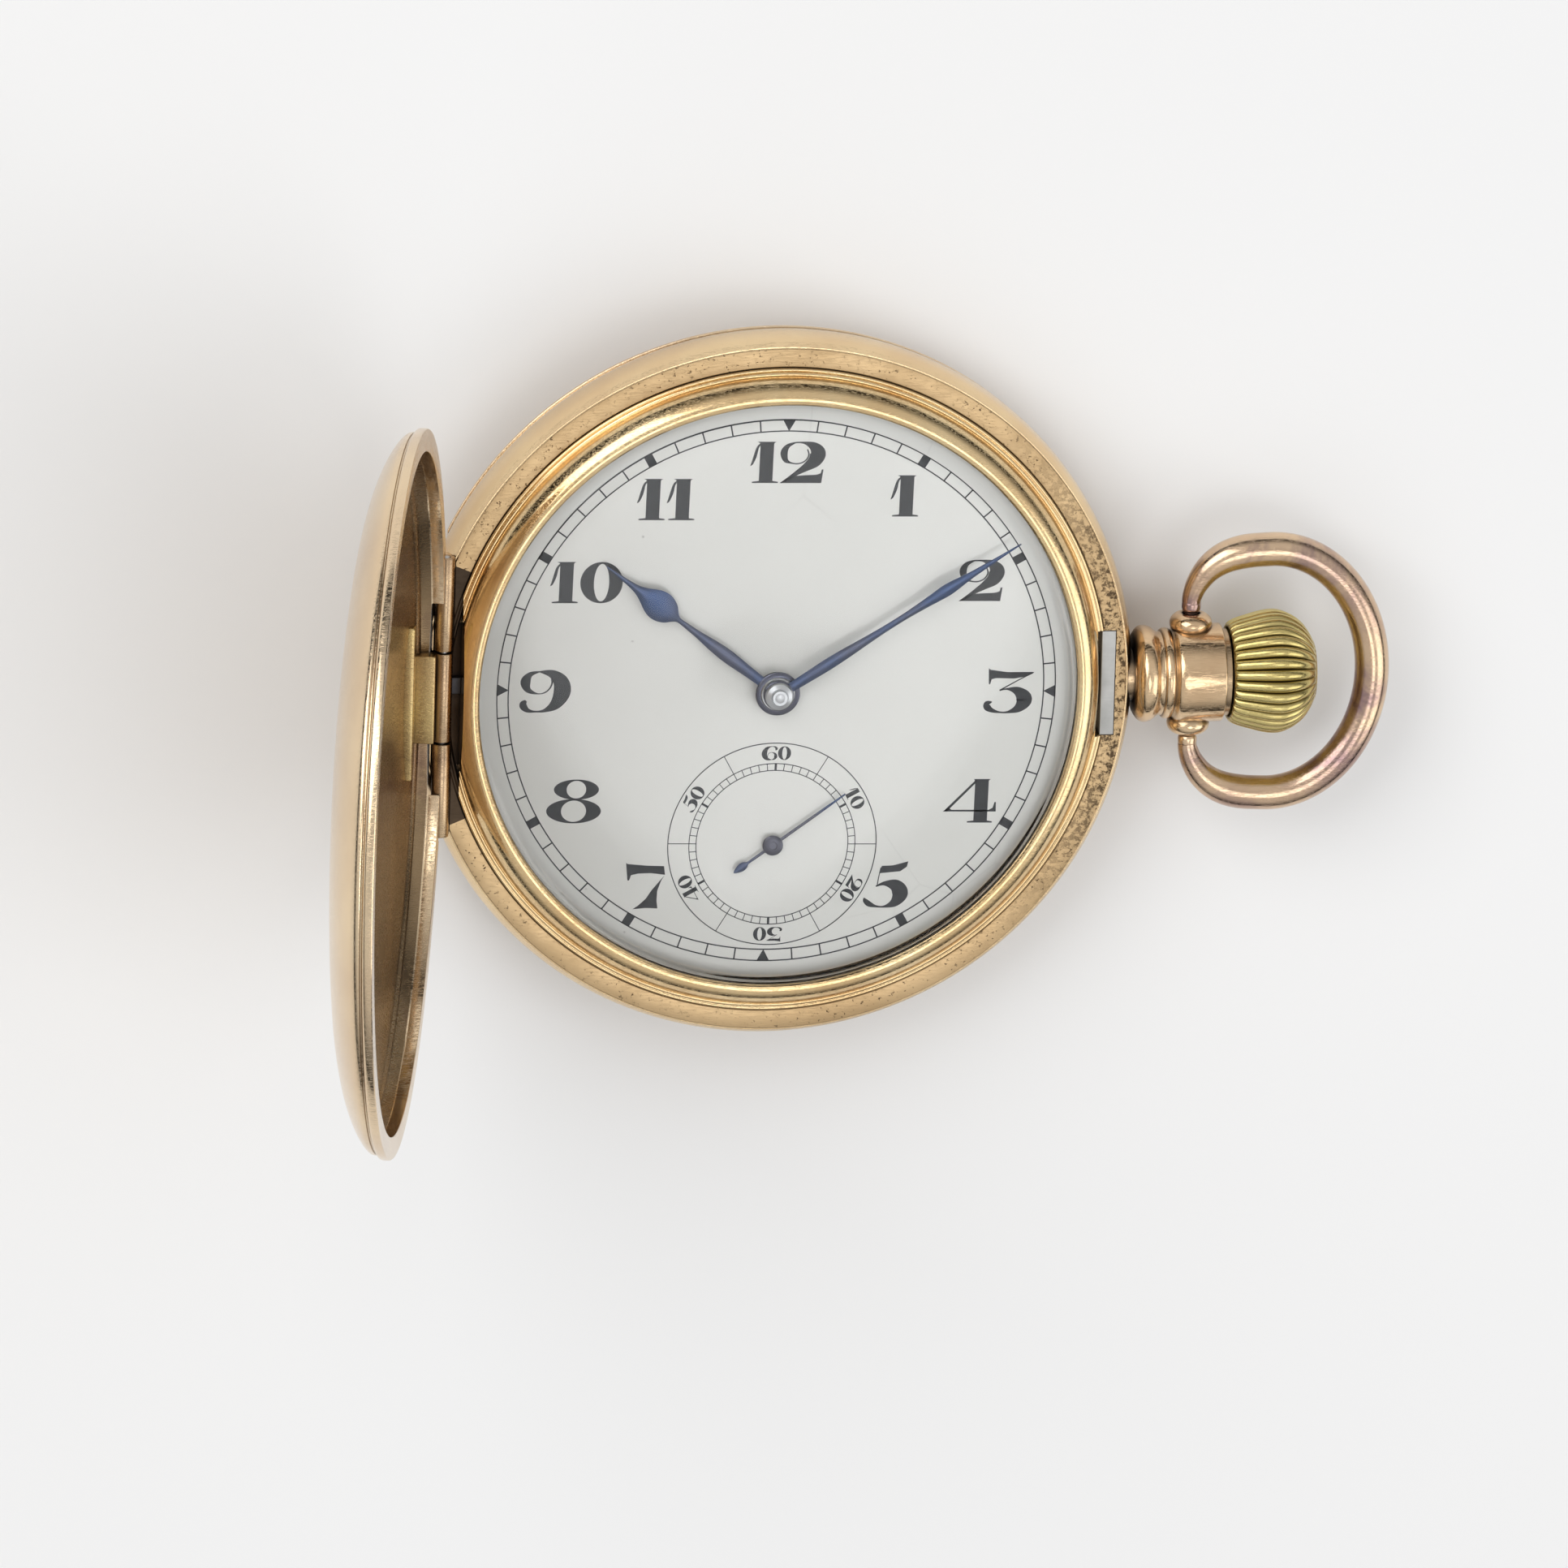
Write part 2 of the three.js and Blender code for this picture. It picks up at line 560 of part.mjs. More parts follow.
function balanceCock() {
  const outline = smooth([[-9.0, -5.1], [-8.3, -6.3], [-9.3, -8.0], [-10.5, -10.6], [-11.5, -13.1],
    [-12.9, -13.5], [-13.9, -12.1], [-13.5, -9.8], [-11.6, -7.4], [-10.5, -5.4]]);
  let solid = bridge(outline, 2.1, 2.6, [[-12.5, -12.3, 1.05]]);
  solid = solid.subtract(disc(BALANCE.x, BALANCE.y, 0.25, 1.5, 4, 8));
  return screwHoles(solid, ['balance_cock_screw'], 2, 8);
}

function palletBridge() {
  const outline = smooth([[-5.6, -7.6], [-6.9, -7.7], [-7.3, -9.4], [-8.6, -11.4], [-8.0, -12.7],
    [-6.6, -12.2], [-5.9, -9.6]]);
  let solid = extruded(outline, 4.2, 4.55).add(disc(-7.6, -11.7, 0.95, 4.3, 5.18, 16));
  solid = solid.subtract(disc(PALLET.x, PALLET.y, 0.25, 4, 5, 10));
  return screwHoles(solid, ['pallet_bridge_screw'], 3.6, 8);
}

function barrel() {
  const pitchR = (BARREL.m * BARREL.teeth) / 2;
  const towards = directionTo(BARREL, CENTRE);
  const teeth = extruded(gearOutline(BARREL.teeth, BARREL.m, towards), 4.35, 4.85);
  const drum = disc(0, 0, pitchR - 0.5, 4.3, 6.1, 24);
  const inside = disc(0, 0, pitchR - 1.0, 4.5, 5.8, 24);
  const bore = disc(0, 0, 1.0, 3.9, 6.3, 20);
  return at(teeth.add(drum).subtract(inside).subtract(bore), BARREL.x, BARREL.y);
}

function barrelArbor() {
  const square = box(-0.6, 0.6, -0.6, 0.6, 2.02, 2.6);
  const post = disc(0, 0, 0.9, 2.58, 6.25, 20);
  const hub = disc(0, 0, 1.6, 4.6, 5.7, 16);
  return at(square.add(post).add(hub), BARREL.x, BARREL.y);
}

// The mainspring, a few coils lying against the drum's wall.
function mainspring() {
  const points = [];
  const steps = 40;
  const turns = 2.5;
  const path = (k, off) => {
    const a = (k / steps) * TURN * turns;
    const r = 6.7 - (k / steps) * 1.8 + off;
    return [BARREL.x + r * Math.cos(a), BARREL.y + r * Math.sin(a)];
  };
  for (let k = 0; k <= steps; k += 1) points.push(path(k, 0.12));
  for (let k = steps; k >= 0; k -= 1) points.push(path(k, -0.12));
  return extruded(points, 4.6, 5.7);
}

function ratchetWheel() {
  const towards = directionTo(BARREL, CROWN_WHEEL);
  const wheel = gear(RATCHET.teeth, RATCHET.m, towards, BARREL.x, BARREL.y, 2.02, 2.45);
  return wheel.subtract(at(box(-0.64, 0.64, -0.64, 0.64, 1, 3), BARREL.x, BARREL.y));
}

function ratchetScrew() {
  const head = disc(BARREL.x, BARREL.y, 1.5, 1.6, 1.98, 20);
  return slotted(head, BARREL.x, BARREL.y, 1.6, 1.5, 0.7);
}

function crownWheel() {
  const direction = meshed(BARREL, CROWN_WHEEL, CROWN_WHEEL.teeth);
  const top = extruded(gearOutline(CROWN_WHEEL.teeth, CROWN_WHEEL.m, direction), 2.02, 2.45);
  const skirt = disc(0, 0, 3.4, 2.4, 3.8, 18);
  const faceTeeth = [];
  for (let i = 0; i < 15; i += 1) {
    const tooth = box(2.75, 3.35, -0.2, 0.2, 3.7, 4.2);
    faceTeeth.push(tooth.rotate([0, 0, i * 24]));
  }
  const solid = top.add(skirt).subtract(disc(0, 0, 2.7, 2.9, 5, 18)).add(wasm.Manifold.union(faceTeeth));
  const hub = disc(0, 0, 1.1, 2.8, 3.9, 12);
  return at(solid.add(hub).subtract(disc(0, 0, 0.62, 1, 5, 10)), CROWN_WHEEL.x, 0);
}

function crownWheelScrew() {
  const head = disc(CROWN_WHEEL.x, 0, 1.2, 1.62, 2.0, 20);
  const shank = disc(CROWN_WHEEL.x, 0, 0.54, 1.9, 5.18, 14);
  return slotted(head.add(shank), CROWN_WHEEL.x, 0, 1.62, 1.2, 0.2);
}

const CLICK = { x: -2.7, y: 9.6 };

function click() {
  const tipR = (RATCHET.m * RATCHET.teeth) / 2 + 0.7 * RATCHET.m + 0.06;
  const a = Math.PI - 0.05;
  const tip = [BARREL.x + tipR * Math.cos(a), BARREL.y + tipR * Math.sin(a)];
  const points = [[tip[0], tip[1]], [tip[0] - 0.35, tip[1] + 1.0], [CLICK.x + 0.7, CLICK.y + 0.2],
    [CLICK.x, CLICK.y + 0.85], [CLICK.x - 0.85, CLICK.y], [CLICK.x - 0.6, CLICK.y - 0.8],
    [tip[0] - 0.9, tip[1] + 0.1]];
  return extruded(points, 2.05, 2.45).subtract(disc(CLICK.x, CLICK.y, 0.38, 1, 3, 12));
}

function clickScrew() {
  const head = disc(CLICK.x, CLICK.y, 0.65, 1.65, 2.0, 14);
  const shank = disc(CLICK.x, CLICK.y, 0.32, 1.9, 3.3, 10);
  return slotted(head.add(shank), CLICK.x, CLICK.y, 1.65, 0.65, 1.1);
}

// A wheel and its pinion on one arbor.
function arborWheel(wheel, x, y, wheelZ, hubR, pinion, arborZ) {
  const pitchR = (wheel.m * wheel.teeth) / 2;
  let disc1 = gear(wheel.teeth, wheel.m, wheel.direction, x, y, wheelZ[0], wheelZ[1]);
  disc1 = spokes(disc1, x, y, hubR, pitchR - 0.55, wheelZ[0], wheelZ[1]);
  const leaves = gear(pinion.leaves, pinion.m, pinion.direction, x, y, pinion.z[0], pinion.z[1]);
  const arbor = disc(x, y, pinion.arborR, arborZ[0], arborZ[1], 12);
  return disc1.add(leaves).add(arbor);
}

function centreWheel() {
  const wheel = { ...CENTRE, direction: directionTo(CENTRE, THIRD) };
  const pinion = { leaves: CENTRE.leaves, m: BARREL.m, z: [3.7, 4.95], arborR: 0.42,
    direction: meshed(BARREL, CENTRE, CENTRE.leaves) };
  return arborWheel(wheel, 0, 0, [3.55, 3.8], 1.2, pinion, [2.62, 7.4]);
}

function thirdWheel() {
  const wheel = { ...THIRD, direction: directionTo(THIRD, FOURTH) };
  const pinion = { leaves: THIRD.leaves, m: CENTRE.m, z: [3.4, 4.5], arborR: 0.22,
    direction: meshed(CENTRE, THIRD, THIRD.leaves) };
  return arborWheel(wheel, THIRD.x, THIRD.y, [4.4, 4.65], 0.9, pinion, [2.62, 6.1]);
}

function fourthWheel() {
  const wheel = { ...FOURTH, direction: directionTo(FOURTH, ESCAPE) };
  const pinion = { leaves: FOURTH.leaves, m: THIRD.m, z: [3.7, 4.9], arborR: 0.2,
    direction: meshed(THIRD, FOURTH, FOURTH.leaves) };
  return arborWheel(wheel, FOURTH.x, FOURTH.y, [3.5, 3.75], 0.8, pinion, [2.62, 8.7]);
}

function escapeWheel() {
  const points = [];
  for (let i = 0; i < ESCAPE.teeth; i += 1) {
    const a = (i * TURN) / ESCAPE.teeth;
    for (const [shift, r] of [[0, 1.95], [0.16, ESCAPE.r], [0.2, ESCAPE.r], [0.17, 1.9]]) {
      points.push([r * Math.cos(a + shift), r * Math.sin(a + shift)]);
    }
  }
  let wheel = at(extruded(points, 4.8, 5.0), ESCAPE.x, ESCAPE.y);
  wheel = spokes(wheel, ESCAPE.x, ESCAPE.y, 0.55, 1.6, 4.8, 5.0, 4);
  const direction = meshed(FOURTH, ESCAPE, ESCAPE.leaves);
  const leaves = gear(ESCAPE.leaves, FOURTH.m, direction, ESCAPE.x, ESCAPE.y, 3.4, 4.9);
  return wheel.add(leaves).add(disc(ESCAPE.x, ESCAPE.y, 0.18, 2.62, 6.1, 10));
}

function palletFork() {
  const along = Math.atan2(BALANCE.y - PALLET.y, BALANCE.x - PALLET.x);
  const body = [[2.75, 0.32], [2.95, 0.5], [2.95, 0.18], [2.7, 0.12], [2.7, -0.12], [2.95, -0.18],
    [2.95, -0.5], [2.75, -0.32], [0.9, -0.18], [0.35, -0.42], [-0.6, -2.5], [-1.25, -2.15],
    [-1.1, -1.9], [-0.75, -2.0], [-0.32, -0.5], [-0.32, 0.5], [-0.75, 2.0], [-1.1, 1.9],
    [-1.25, 2.15], [-0.6, 2.5], [0.35, 0.42], [0.9, 0.18]];
  const fork = at(extruded(turn(body, along), 4.8, 5.0), PALLET.x, PALLET.y);
  return fork.add(disc(PALLET.x, PALLET.y, 0.18, 4.25, 6.1, 10));
}

function balanceWheel() {
  const rim = turned([[4.55, 3.35], [5.0, 3.35], [5.0, 3.85], [4.55, 3.85]], 24);
  const arms = box(-4.7, 4.7, -0.3, 0.3, 3.45, 3.75).add(disc(0, 0, 0.85, 3.4, 3.8, 20));
  const screws = [];
  for (let i = 0; i < 8; i += 1) {
    const stud = new THREE.CylinderGeometry(0.22, 0.22, 0.42, 6);
    stud.rotateZ(Math.PI / 2);
    stud.translate(5.15, 0, 0);
    stud.rotateZ(0.26 + (i * TURN) / 8);
    stud.translate(0, 0, 3.6);
    screws.push(toSolid(stud));
  }
  const staff = disc(0, 0, 0.2, 2.15, 6.1, 10).add(disc(0, 0, 0.45, 3.7, 4.6, 14));
  return at(rim.add(arms).add(staff).add(wasm.Manifold.union(screws)), BALANCE.x, BALANCE.y);
}

function hairspring() {
  const points = [];
  const steps = 48;
  const turns = 4;
  const path = (k, off) => {
    const a = (k / steps) * TURN * turns;
    const r = 0.75 + (k / steps) * 1.9 + off;
    return [BALANCE.x + r * Math.cos(a), BALANCE.y + r * Math.sin(a)];
  };
  for (let k = 0; k <= steps; k += 1) points.push(path(k, 0.05));
  for (let k = steps; k >= 0; k -= 1) points.push(path(k, -0.05));
  return extruded(points, 2.85, 3.1);
}

function dial() {
  let plate = disc(0, 0, R_DIAL, Z_DIAL_TOP - DIAL_THICK, Z_DIAL_TOP, RING_SEGMENTS);
  plate = plate.subtract(disc(0, 0, 1.75, 7, 9, 20));
  plate = plate.subtract(disc(FOURTH.x, FOURTH.y, 0.45, 7, 9, 16));
  for (const [x, y] of [[-14.2, 12.2], [12.6, -14.0]]) {
    plate = plate.add(disc(x, y, 0.36, 6.5, 8.1, 12));
  }
  return plate;
}

function cannonPinion() {
  const leaves = gear(CANNON.leaves, CANNON.m, 0, 0, 0, 7.0, 7.35);
  const pipe = disc(0, 0, 0.52, 7.0, 10.35, 16);
  return leaves.add(pipe).subtract(disc(0, 0, 0.45, 6, 7.45, 14));
}

function minuteWheel() {
  const { teeth, leaves, x } = MINUTE_WHEEL;
  const wheel = gear(teeth, CANNON.m, Math.PI + Math.PI / teeth, x, 0, 6.85, 7.1);
  const pinion = gear(leaves, HOUR_WHEEL.m, Math.PI, x, 0, 7.0, 7.85);
  return wheel.add(pinion).add(disc(x, 0, 0.3, 6.5, 7.2, 10));
}

function hourWheel() {
  const direction = Math.PI / HOUR_WHEEL.teeth;
  const wheel = gear(HOUR_WHEEL.teeth, HOUR_WHEEL.m, direction, 0, 0, 7.5, 7.75);
  const pipe = disc(0, 0, 1.2, 7.6, 9.1, 20);
  return wheel.add(pipe).subtract(disc(0, 0, 0.6, 7, 10, 16));
}

function settingWheel(x, order) {
  const direction = order === 1 ? Math.PI : Math.PI + Math.PI / 36;
  const wheel = gear(36, CANNON.m, direction, x, 0, 6.85, 7.15);
  return wheel.add(disc(x, 0, 0.3, 6.45, 7.3, 10));
}

function settingLever() {
  const points = [[13.0, -7.2], [14.3, -7.0], [14.6, -5.4], [15.0, -2.4], [14.7, -1.15], [14.35, -1.15],
    [14.35, -2.4], [13.6, -5.2], [12.9, -6.2]];
  return extruded(points, 4.55, 5.0).add(disc(13.6, -6.4, 0.34, 4.7, 6.2, 8));
}

// Hands lie over the dial; the widest point and tip follow the slim pear pattern.
function handShape(length, tail, widths, hubR, angle, z0, z1, boreR) {
  const upper = [];
  const lower = [];
  for (const [t, w] of widths) {
    upper.push([t * length, w / 2]);
    lower.unshift([t * length, -w / 2]);
  }
  const points = [...upper, ...lower];
  const blade = extruded(turn(points, angle), z0, z1);
  let solid = blade.add(disc(0, 0, hubR, z0, z1, 20));
  if (tail.length) solid = solid.add(extruded(turn(tail, angle), z0, z1));
  return boreR ? solid.subtract(disc(0, 0, boreR, z0 - 1, z1 + 1, 16)) : solid;
}

const MINUTE_HAND = { length: 20.0, angle: THREE.MathUtils.degToRad(32.4) };
const HOUR_HAND = { length: 15.6, angle: THREE.MathUtils.degToRad(142.3) };
const SECONDS_HAND = { length: 6.2, angle: THREE.MathUtils.degToRad(35.9) };

function minuteHand() {
  const widths = [[0.03, 0.7], [0.2, 0.84], [0.36, 0.58], [0.47, 0.44], [0.6, 0.6], [0.68, 0.86],
    [0.74, 0.66], [0.8, 0.43], [0.9, 0.24], [0.999, 0.12]];
  return handShape(MINUTE_HAND.length, [], widths, 1.05, MINUTE_HAND.angle, 9.5, 9.62, 0.55);
}

function hourHand() {
  const widths = [[0.05, 0.7], [0.28, 0.94], [0.42, 0.62], [0.58, 0.36], [0.61, 1.3], [0.65, 2.0],
    [0.7, 2.12], [0.75, 1.65], [0.79, 1.0], [0.84, 0.5], [0.999, 0.14]];
  return handShape(HOUR_HAND.length, [], widths, 1.55, HOUR_HAND.angle, 9.12, 9.25, 1.25);
}

function secondsHand() {
  const widths = [[0.05, 0.24], [0.4, 0.2], [0.999, 0.1]];
  const tail = [[-0.3, 0.1], [-2.15, 0.1], [-2.7, 0.3], [-3.3, 0.05], [-3.3, -0.05], [-2.7, -0.3],
    [-2.15, -0.1], [-0.3, -0.1]];
  const solid = handShape(SECONDS_HAND.length, tail, widths, 0.7, SECONDS_HAND.angle, 8.72, 8.82, 0);
  return at(solid, FOURTH.x, FOURTH.y);
}

const watch = new THREE.Group();
watch.name = 'hunter_pocket_watch';

const pieces = [
  ['case_middle', caseMiddle(), ROSE_GOLD],
  ['pendant', pendant(), ROSE_GOLD],
  ['front_bezel', frontBezel(), ROSE_GOLD],
  ['crystal', crystal(), GLASS],
  ['front_cover', opened(frontCover()), ROSE_GOLD],
  ['front_hinge_pin', hingePin(HINGE_Z), STEEL],
  ['back_cover', backCover(), ROSE_GOLD],
  ['back_hinge_pin', hingePin(BACK_HINGE_Z), STEEL],
  ['inner_cover', innerCover(), TARNISHED_GOLD],
  ['fly_spring', flySpring(), STEEL],
  ['lock_spring', lockSpring(), STEEL],
  ['bow', bow(), ROSE_GOLD],
  ['crown', crown(), YELLOW_GOLD],
  ['winding_stem', windingStem(), STEEL],
  ['winding_pinion', windingPinion(), STEEL],
  ['sliding_pinion', slidingPinion(), STEEL],
  ['setting_lever', settingLever(), STEEL],
  ['case_screw_1', caseScrew(2.0), STEEL],
  ['case_screw_2', caseScrew(5.6), STEEL],
  ['main_plate', mainPlate(), NICKEL],
  ['barrel_bridge', barrelBridge(), NICKEL],
  ['train_bridge', trainBridge(), NICKEL],
  ['balance_cock', balanceCock(), NICKEL],
  ['pallet_bridge', palletBridge(), NICKEL],
  ['barrel', barrel(), BRASS],
  ['barrel_arbor', barrelArbor(), STEEL],
  ['mainspring', mainspring(), BLUED_STEEL],
  ['ratchet_wheel', ratchetWheel(), STEEL],
  ['ratchet_screw', ratchetScrew(), BLUED_STEEL],
  ['crown_wheel', crownWheel(), STEEL],
  ['crown_wheel_screw', crownWheelScrew(), BLUED_STEEL],
  ['click', click(), STEEL],
  ['click_screw', clickScrew(), BLUED_STEEL],
  ['centre_wheel', centreWheel(), BRASS],
  ['third_wheel', thirdWheel(), BRASS],
  ['fourth_wheel', fourthWheel(), BRASS],
  ['escape_wheel', escapeWheel(), STEEL],
  ['pallet_fork', palletFork(), STEEL],
  ['balance_wheel', balanceWheel(), BRASS],
  ['hairspring', hairspring(), BLUED_STEEL],
  ['dial', dial(), ENAMEL],
  ['cannon_pinion', cannonPinion(), STEEL],
  ['minute_wheel', minuteWheel(), BRASS],
  ['hour_wheel', hourWheel(), BRASS],
  ['setting_wheel_1', settingWheel(6.5, 1), STEEL],
  ['setting_wheel_2', settingWheel(10.4, 2), STEEL],
  ['minute_hand', minuteHand(), BLUED_STEEL],
  ['hour_hand', hourHand(), BLUED_STEEL],
  ['seconds_hand', secondsHand(), BLUED_STEEL],
];
for (const [name, x, y, headZ, headR, shankTo, angle] of SCREWS) {
  pieces.push([name, screw(x, y, headZ - 0.02, headR, shankTo, angle), BLUED_STEEL]);
}
for (const [name, solid, look] of pieces) watch.add(finish(name, solid, look));

export default watch;
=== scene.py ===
import json
import math

import bmesh
import bpy
from mathutils import Matrix, Vector


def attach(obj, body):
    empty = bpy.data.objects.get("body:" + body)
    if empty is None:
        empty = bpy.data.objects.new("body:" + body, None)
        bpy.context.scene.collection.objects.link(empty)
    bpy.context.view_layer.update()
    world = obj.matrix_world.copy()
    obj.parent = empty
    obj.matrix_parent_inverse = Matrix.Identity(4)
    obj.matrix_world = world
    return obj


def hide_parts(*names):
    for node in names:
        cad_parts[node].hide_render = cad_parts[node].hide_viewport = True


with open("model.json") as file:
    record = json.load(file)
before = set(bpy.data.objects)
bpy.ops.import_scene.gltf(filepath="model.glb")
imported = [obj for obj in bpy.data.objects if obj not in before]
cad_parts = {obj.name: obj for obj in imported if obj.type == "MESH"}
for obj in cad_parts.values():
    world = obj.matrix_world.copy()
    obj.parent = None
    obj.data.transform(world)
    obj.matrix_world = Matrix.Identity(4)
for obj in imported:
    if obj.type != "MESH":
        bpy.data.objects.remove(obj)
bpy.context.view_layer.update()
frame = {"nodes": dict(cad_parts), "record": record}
MM = 0.001

# Shared dimensions in millimetres, as in the CAD.
STEM_Z = 6.1
HINGE_X, HINGE_Z, BACK_HINGE_Z = -23.5, 8.3, 3.9
LID_OPEN = math.radians(104)
DIAL_Z = 8.4
SECONDS_Y = -11.2
DIAL_TWIST = math.radians(-1.24)
SEGMENTS = 192

scene = bpy.context.scene


def new_object(name, mesh, body, materials, nodes=()):
    """A piece that rides a body and stands in for the CAD nodes named."""
    obj = bpy.data.objects.new(name, mesh)
    scene.collection.objects.link(obj)
    for material in materials:
        obj.data.materials.append(material)
    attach(obj, body)
    if nodes:
        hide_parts(*nodes)
    return obj


def sharpen(mesh, degrees=32):
    """Smooth shading, with sharp edges where faces meet at more than the angle given."""
    bm = bmesh.new()
    bm.from_mesh(mesh)
    bmesh.ops.remove_doubles(bm, verts=bm.verts, dist=1e-7)
    bmesh.ops.recalc_face_normals(bm, faces=bm.faces)
    limit = math.radians(degrees)
    for face in bm.faces:
        face.smooth = True
    for edge in bm.edges:
        if len(edge.link_faces) == 2:
            edge.smooth = edge.calc_face_angle(0) < limit
    bm.to_mesh(mesh)
    bm.free()


def fillet(profile, radius=0.12, steps=3, closed=True):
    """Rounds every corner of a profile of (radius, height) pairs."""
    out = []
    count = len(profile)
    for i, point in enumerate(profile):
        p = Vector(point)
        if not closed and i in (0, count - 1):
            out.append(p)
            continue
        a = Vector(profile[i - 1]) - p
        b = Vector(profile[(i + 1) % count]) - p
        cut = min(radius, a.length * 0.45, b.length * 0.45)
        start, end = p + a.normalized() * cut, p + b.normalized() * cut
        for k in range(steps + 1):
            t = k / steps
            out.append(start * (1 - t) ** 2 + p * 2 * t * (1 - t) + end * t * t)
    return [(v.x, v.y) for v in out]


def curve(points, steps=6):
    """A smooth line through the points given."""
    out = []
    count = len(points)
    for i in range(count - 1):
        p0 = Vector(points[max(i - 1, 0)])
        p1, p2 = Vector(points[i]), Vector(points[i + 1])
        p3 = Vector(points[min(i + 2, count - 1)])
        for k in range(steps):
            t = k / steps
            out.append(0.5 * ((2 * p1) + (p2 - p0) * t + (2 * p0 - 5 * p1 + 4 * p2 - p3) * t * t
                              + (3 * p1 - p0 - 3 * p2 + p3) * t ** 3))
    out.append(Vector(points[-1]))
    return [tuple(v) for v in out]


def lathe_bm(profile, closed=True, segments=SEGMENTS):
    """Turns (radius, height) pairs, in millimetres, about the Z axis."""
    bm = bmesh.new()
    rows = []
    for r, z in profile:
        if r < 1e-6:
            rows.append([bm.verts.new((0, 0, z * MM))])
            continue
        row = []
        for k in range(segments):
            a = 2 * math.pi * k / segments
            row.append(bm.verts.new((r * math.cos(a) * MM, r * math.sin(a) * MM, z * MM)))
        rows.append(row)
    pairs = list(zip(rows, rows[1:]))
    if closed:
        pairs.append((rows[-1], rows[0]))
    for a, b in pairs:
        for k in range(segments):
            j = (k + 1) % segments
            if len(a) == 1 and len(b) == 1:
                continue
            if len(a) == 1:
                bm.faces.new((a[0], b[k], b[j]))
            elif len(b) == 1:
                bm.faces.new((a[k], b[0], a[j]))
            else:
                bm.faces.new((a[k], b[k], b[j], a[j]))
    bmesh.ops.recalc_face_normals(bm, faces=bm.faces)
    return bm


def to_mesh(bm, name, matrix=None):
    if matrix is not None:
        bm.transform(matrix)
    mesh = bpy.data.meshes.new(name)
    bm.to_mesh(mesh)
    bm.free()
    return mesh


def box_mesh(name, x0, x1, y0, y1, z0, z1, bevel=0.0):
    bm = bmesh.new()
    bmesh.ops.create_cube(bm, size=1.0)
    size = Matrix.Diagonal(((x1 - x0) * MM, (y1 - y0) * MM, (z1 - z0) * MM, 1))
    centre = Vector(((x0 + x1) / 2, (y0 + y1) / 2, (z0 + z1) / 2)) * MM
    bm.transform(Matrix.Translation(centre) @ size)
    if bevel:
        bmesh.ops.bevel(bm, geom=bm.edges[:], offset=bevel * MM, segments=3, affect="EDGES", profile=0.5)
    return to_mesh(bm, name)


def along_y(profile, x, z, segments=48):
    """Turns (radius, distance) pairs about a line along Y through (x, z)."""
    bm = lathe_bm(profile, closed=False, segments=segments)
    turn = Matrix.Rotation(math.radians(-90), 4, "X")
    return bm, Matrix.Translation(Vector((x, 0, z)) * MM) @ turn


def rod(name, x, z, r, y0, y1, segments=40, edge=0.08):
    profile = [(0, y0), (r - edge, y0), (r - edge * 0.3, y0 + edge * 0.3), (r, y0 + edge),
               (r, y1 - edge), (r - edge * 0.3, y1 - edge * 0.3), (r - edge, y1), (0, y1)]
    bm, matrix = along_y(profile, x, z, segments)
    return to_mesh(bm, name, matrix)


def along_x_matrix():
    return Matrix.Translation(Vector((0, 0, STEM_Z)) * MM) @ Matrix.Rotation(math.radians(90), 4, "Y")


def boolean(mesh, cutter, operation="DIFFERENCE"):
    """Applies one mesh to another by a boolean operation and returns the result."""
    a = bpy.data.objects.new("bool_a", mesh)
    b = bpy.data.objects.new("bool_b", cutter)
    scene.collection.objects.link(a)
    scene.collection.objects.link(b)
    modifier = a.modifiers.new("cut", "BOOLEAN")
    modifier.operation = operation
    modifier.solver = "EXACT"
    modifier.object = b
    bpy.context.view_layer.update()
    graph = bpy.context.evaluated_depsgraph_get()
    result = bpy.data.meshes.new_from_object(a.evaluated_get(graph))
    bpy.data.objects.remove(a)
    bpy.data.objects.remove(b)
    return result


def opened_matrix():
    centre = Vector((HINGE_X, 0, HINGE_Z)) * MM
    return Matrix.Translation(centre) @ Matrix.Rotation(-LID_OPEN, 4, "Y") @ Matrix.Translation(-centre)


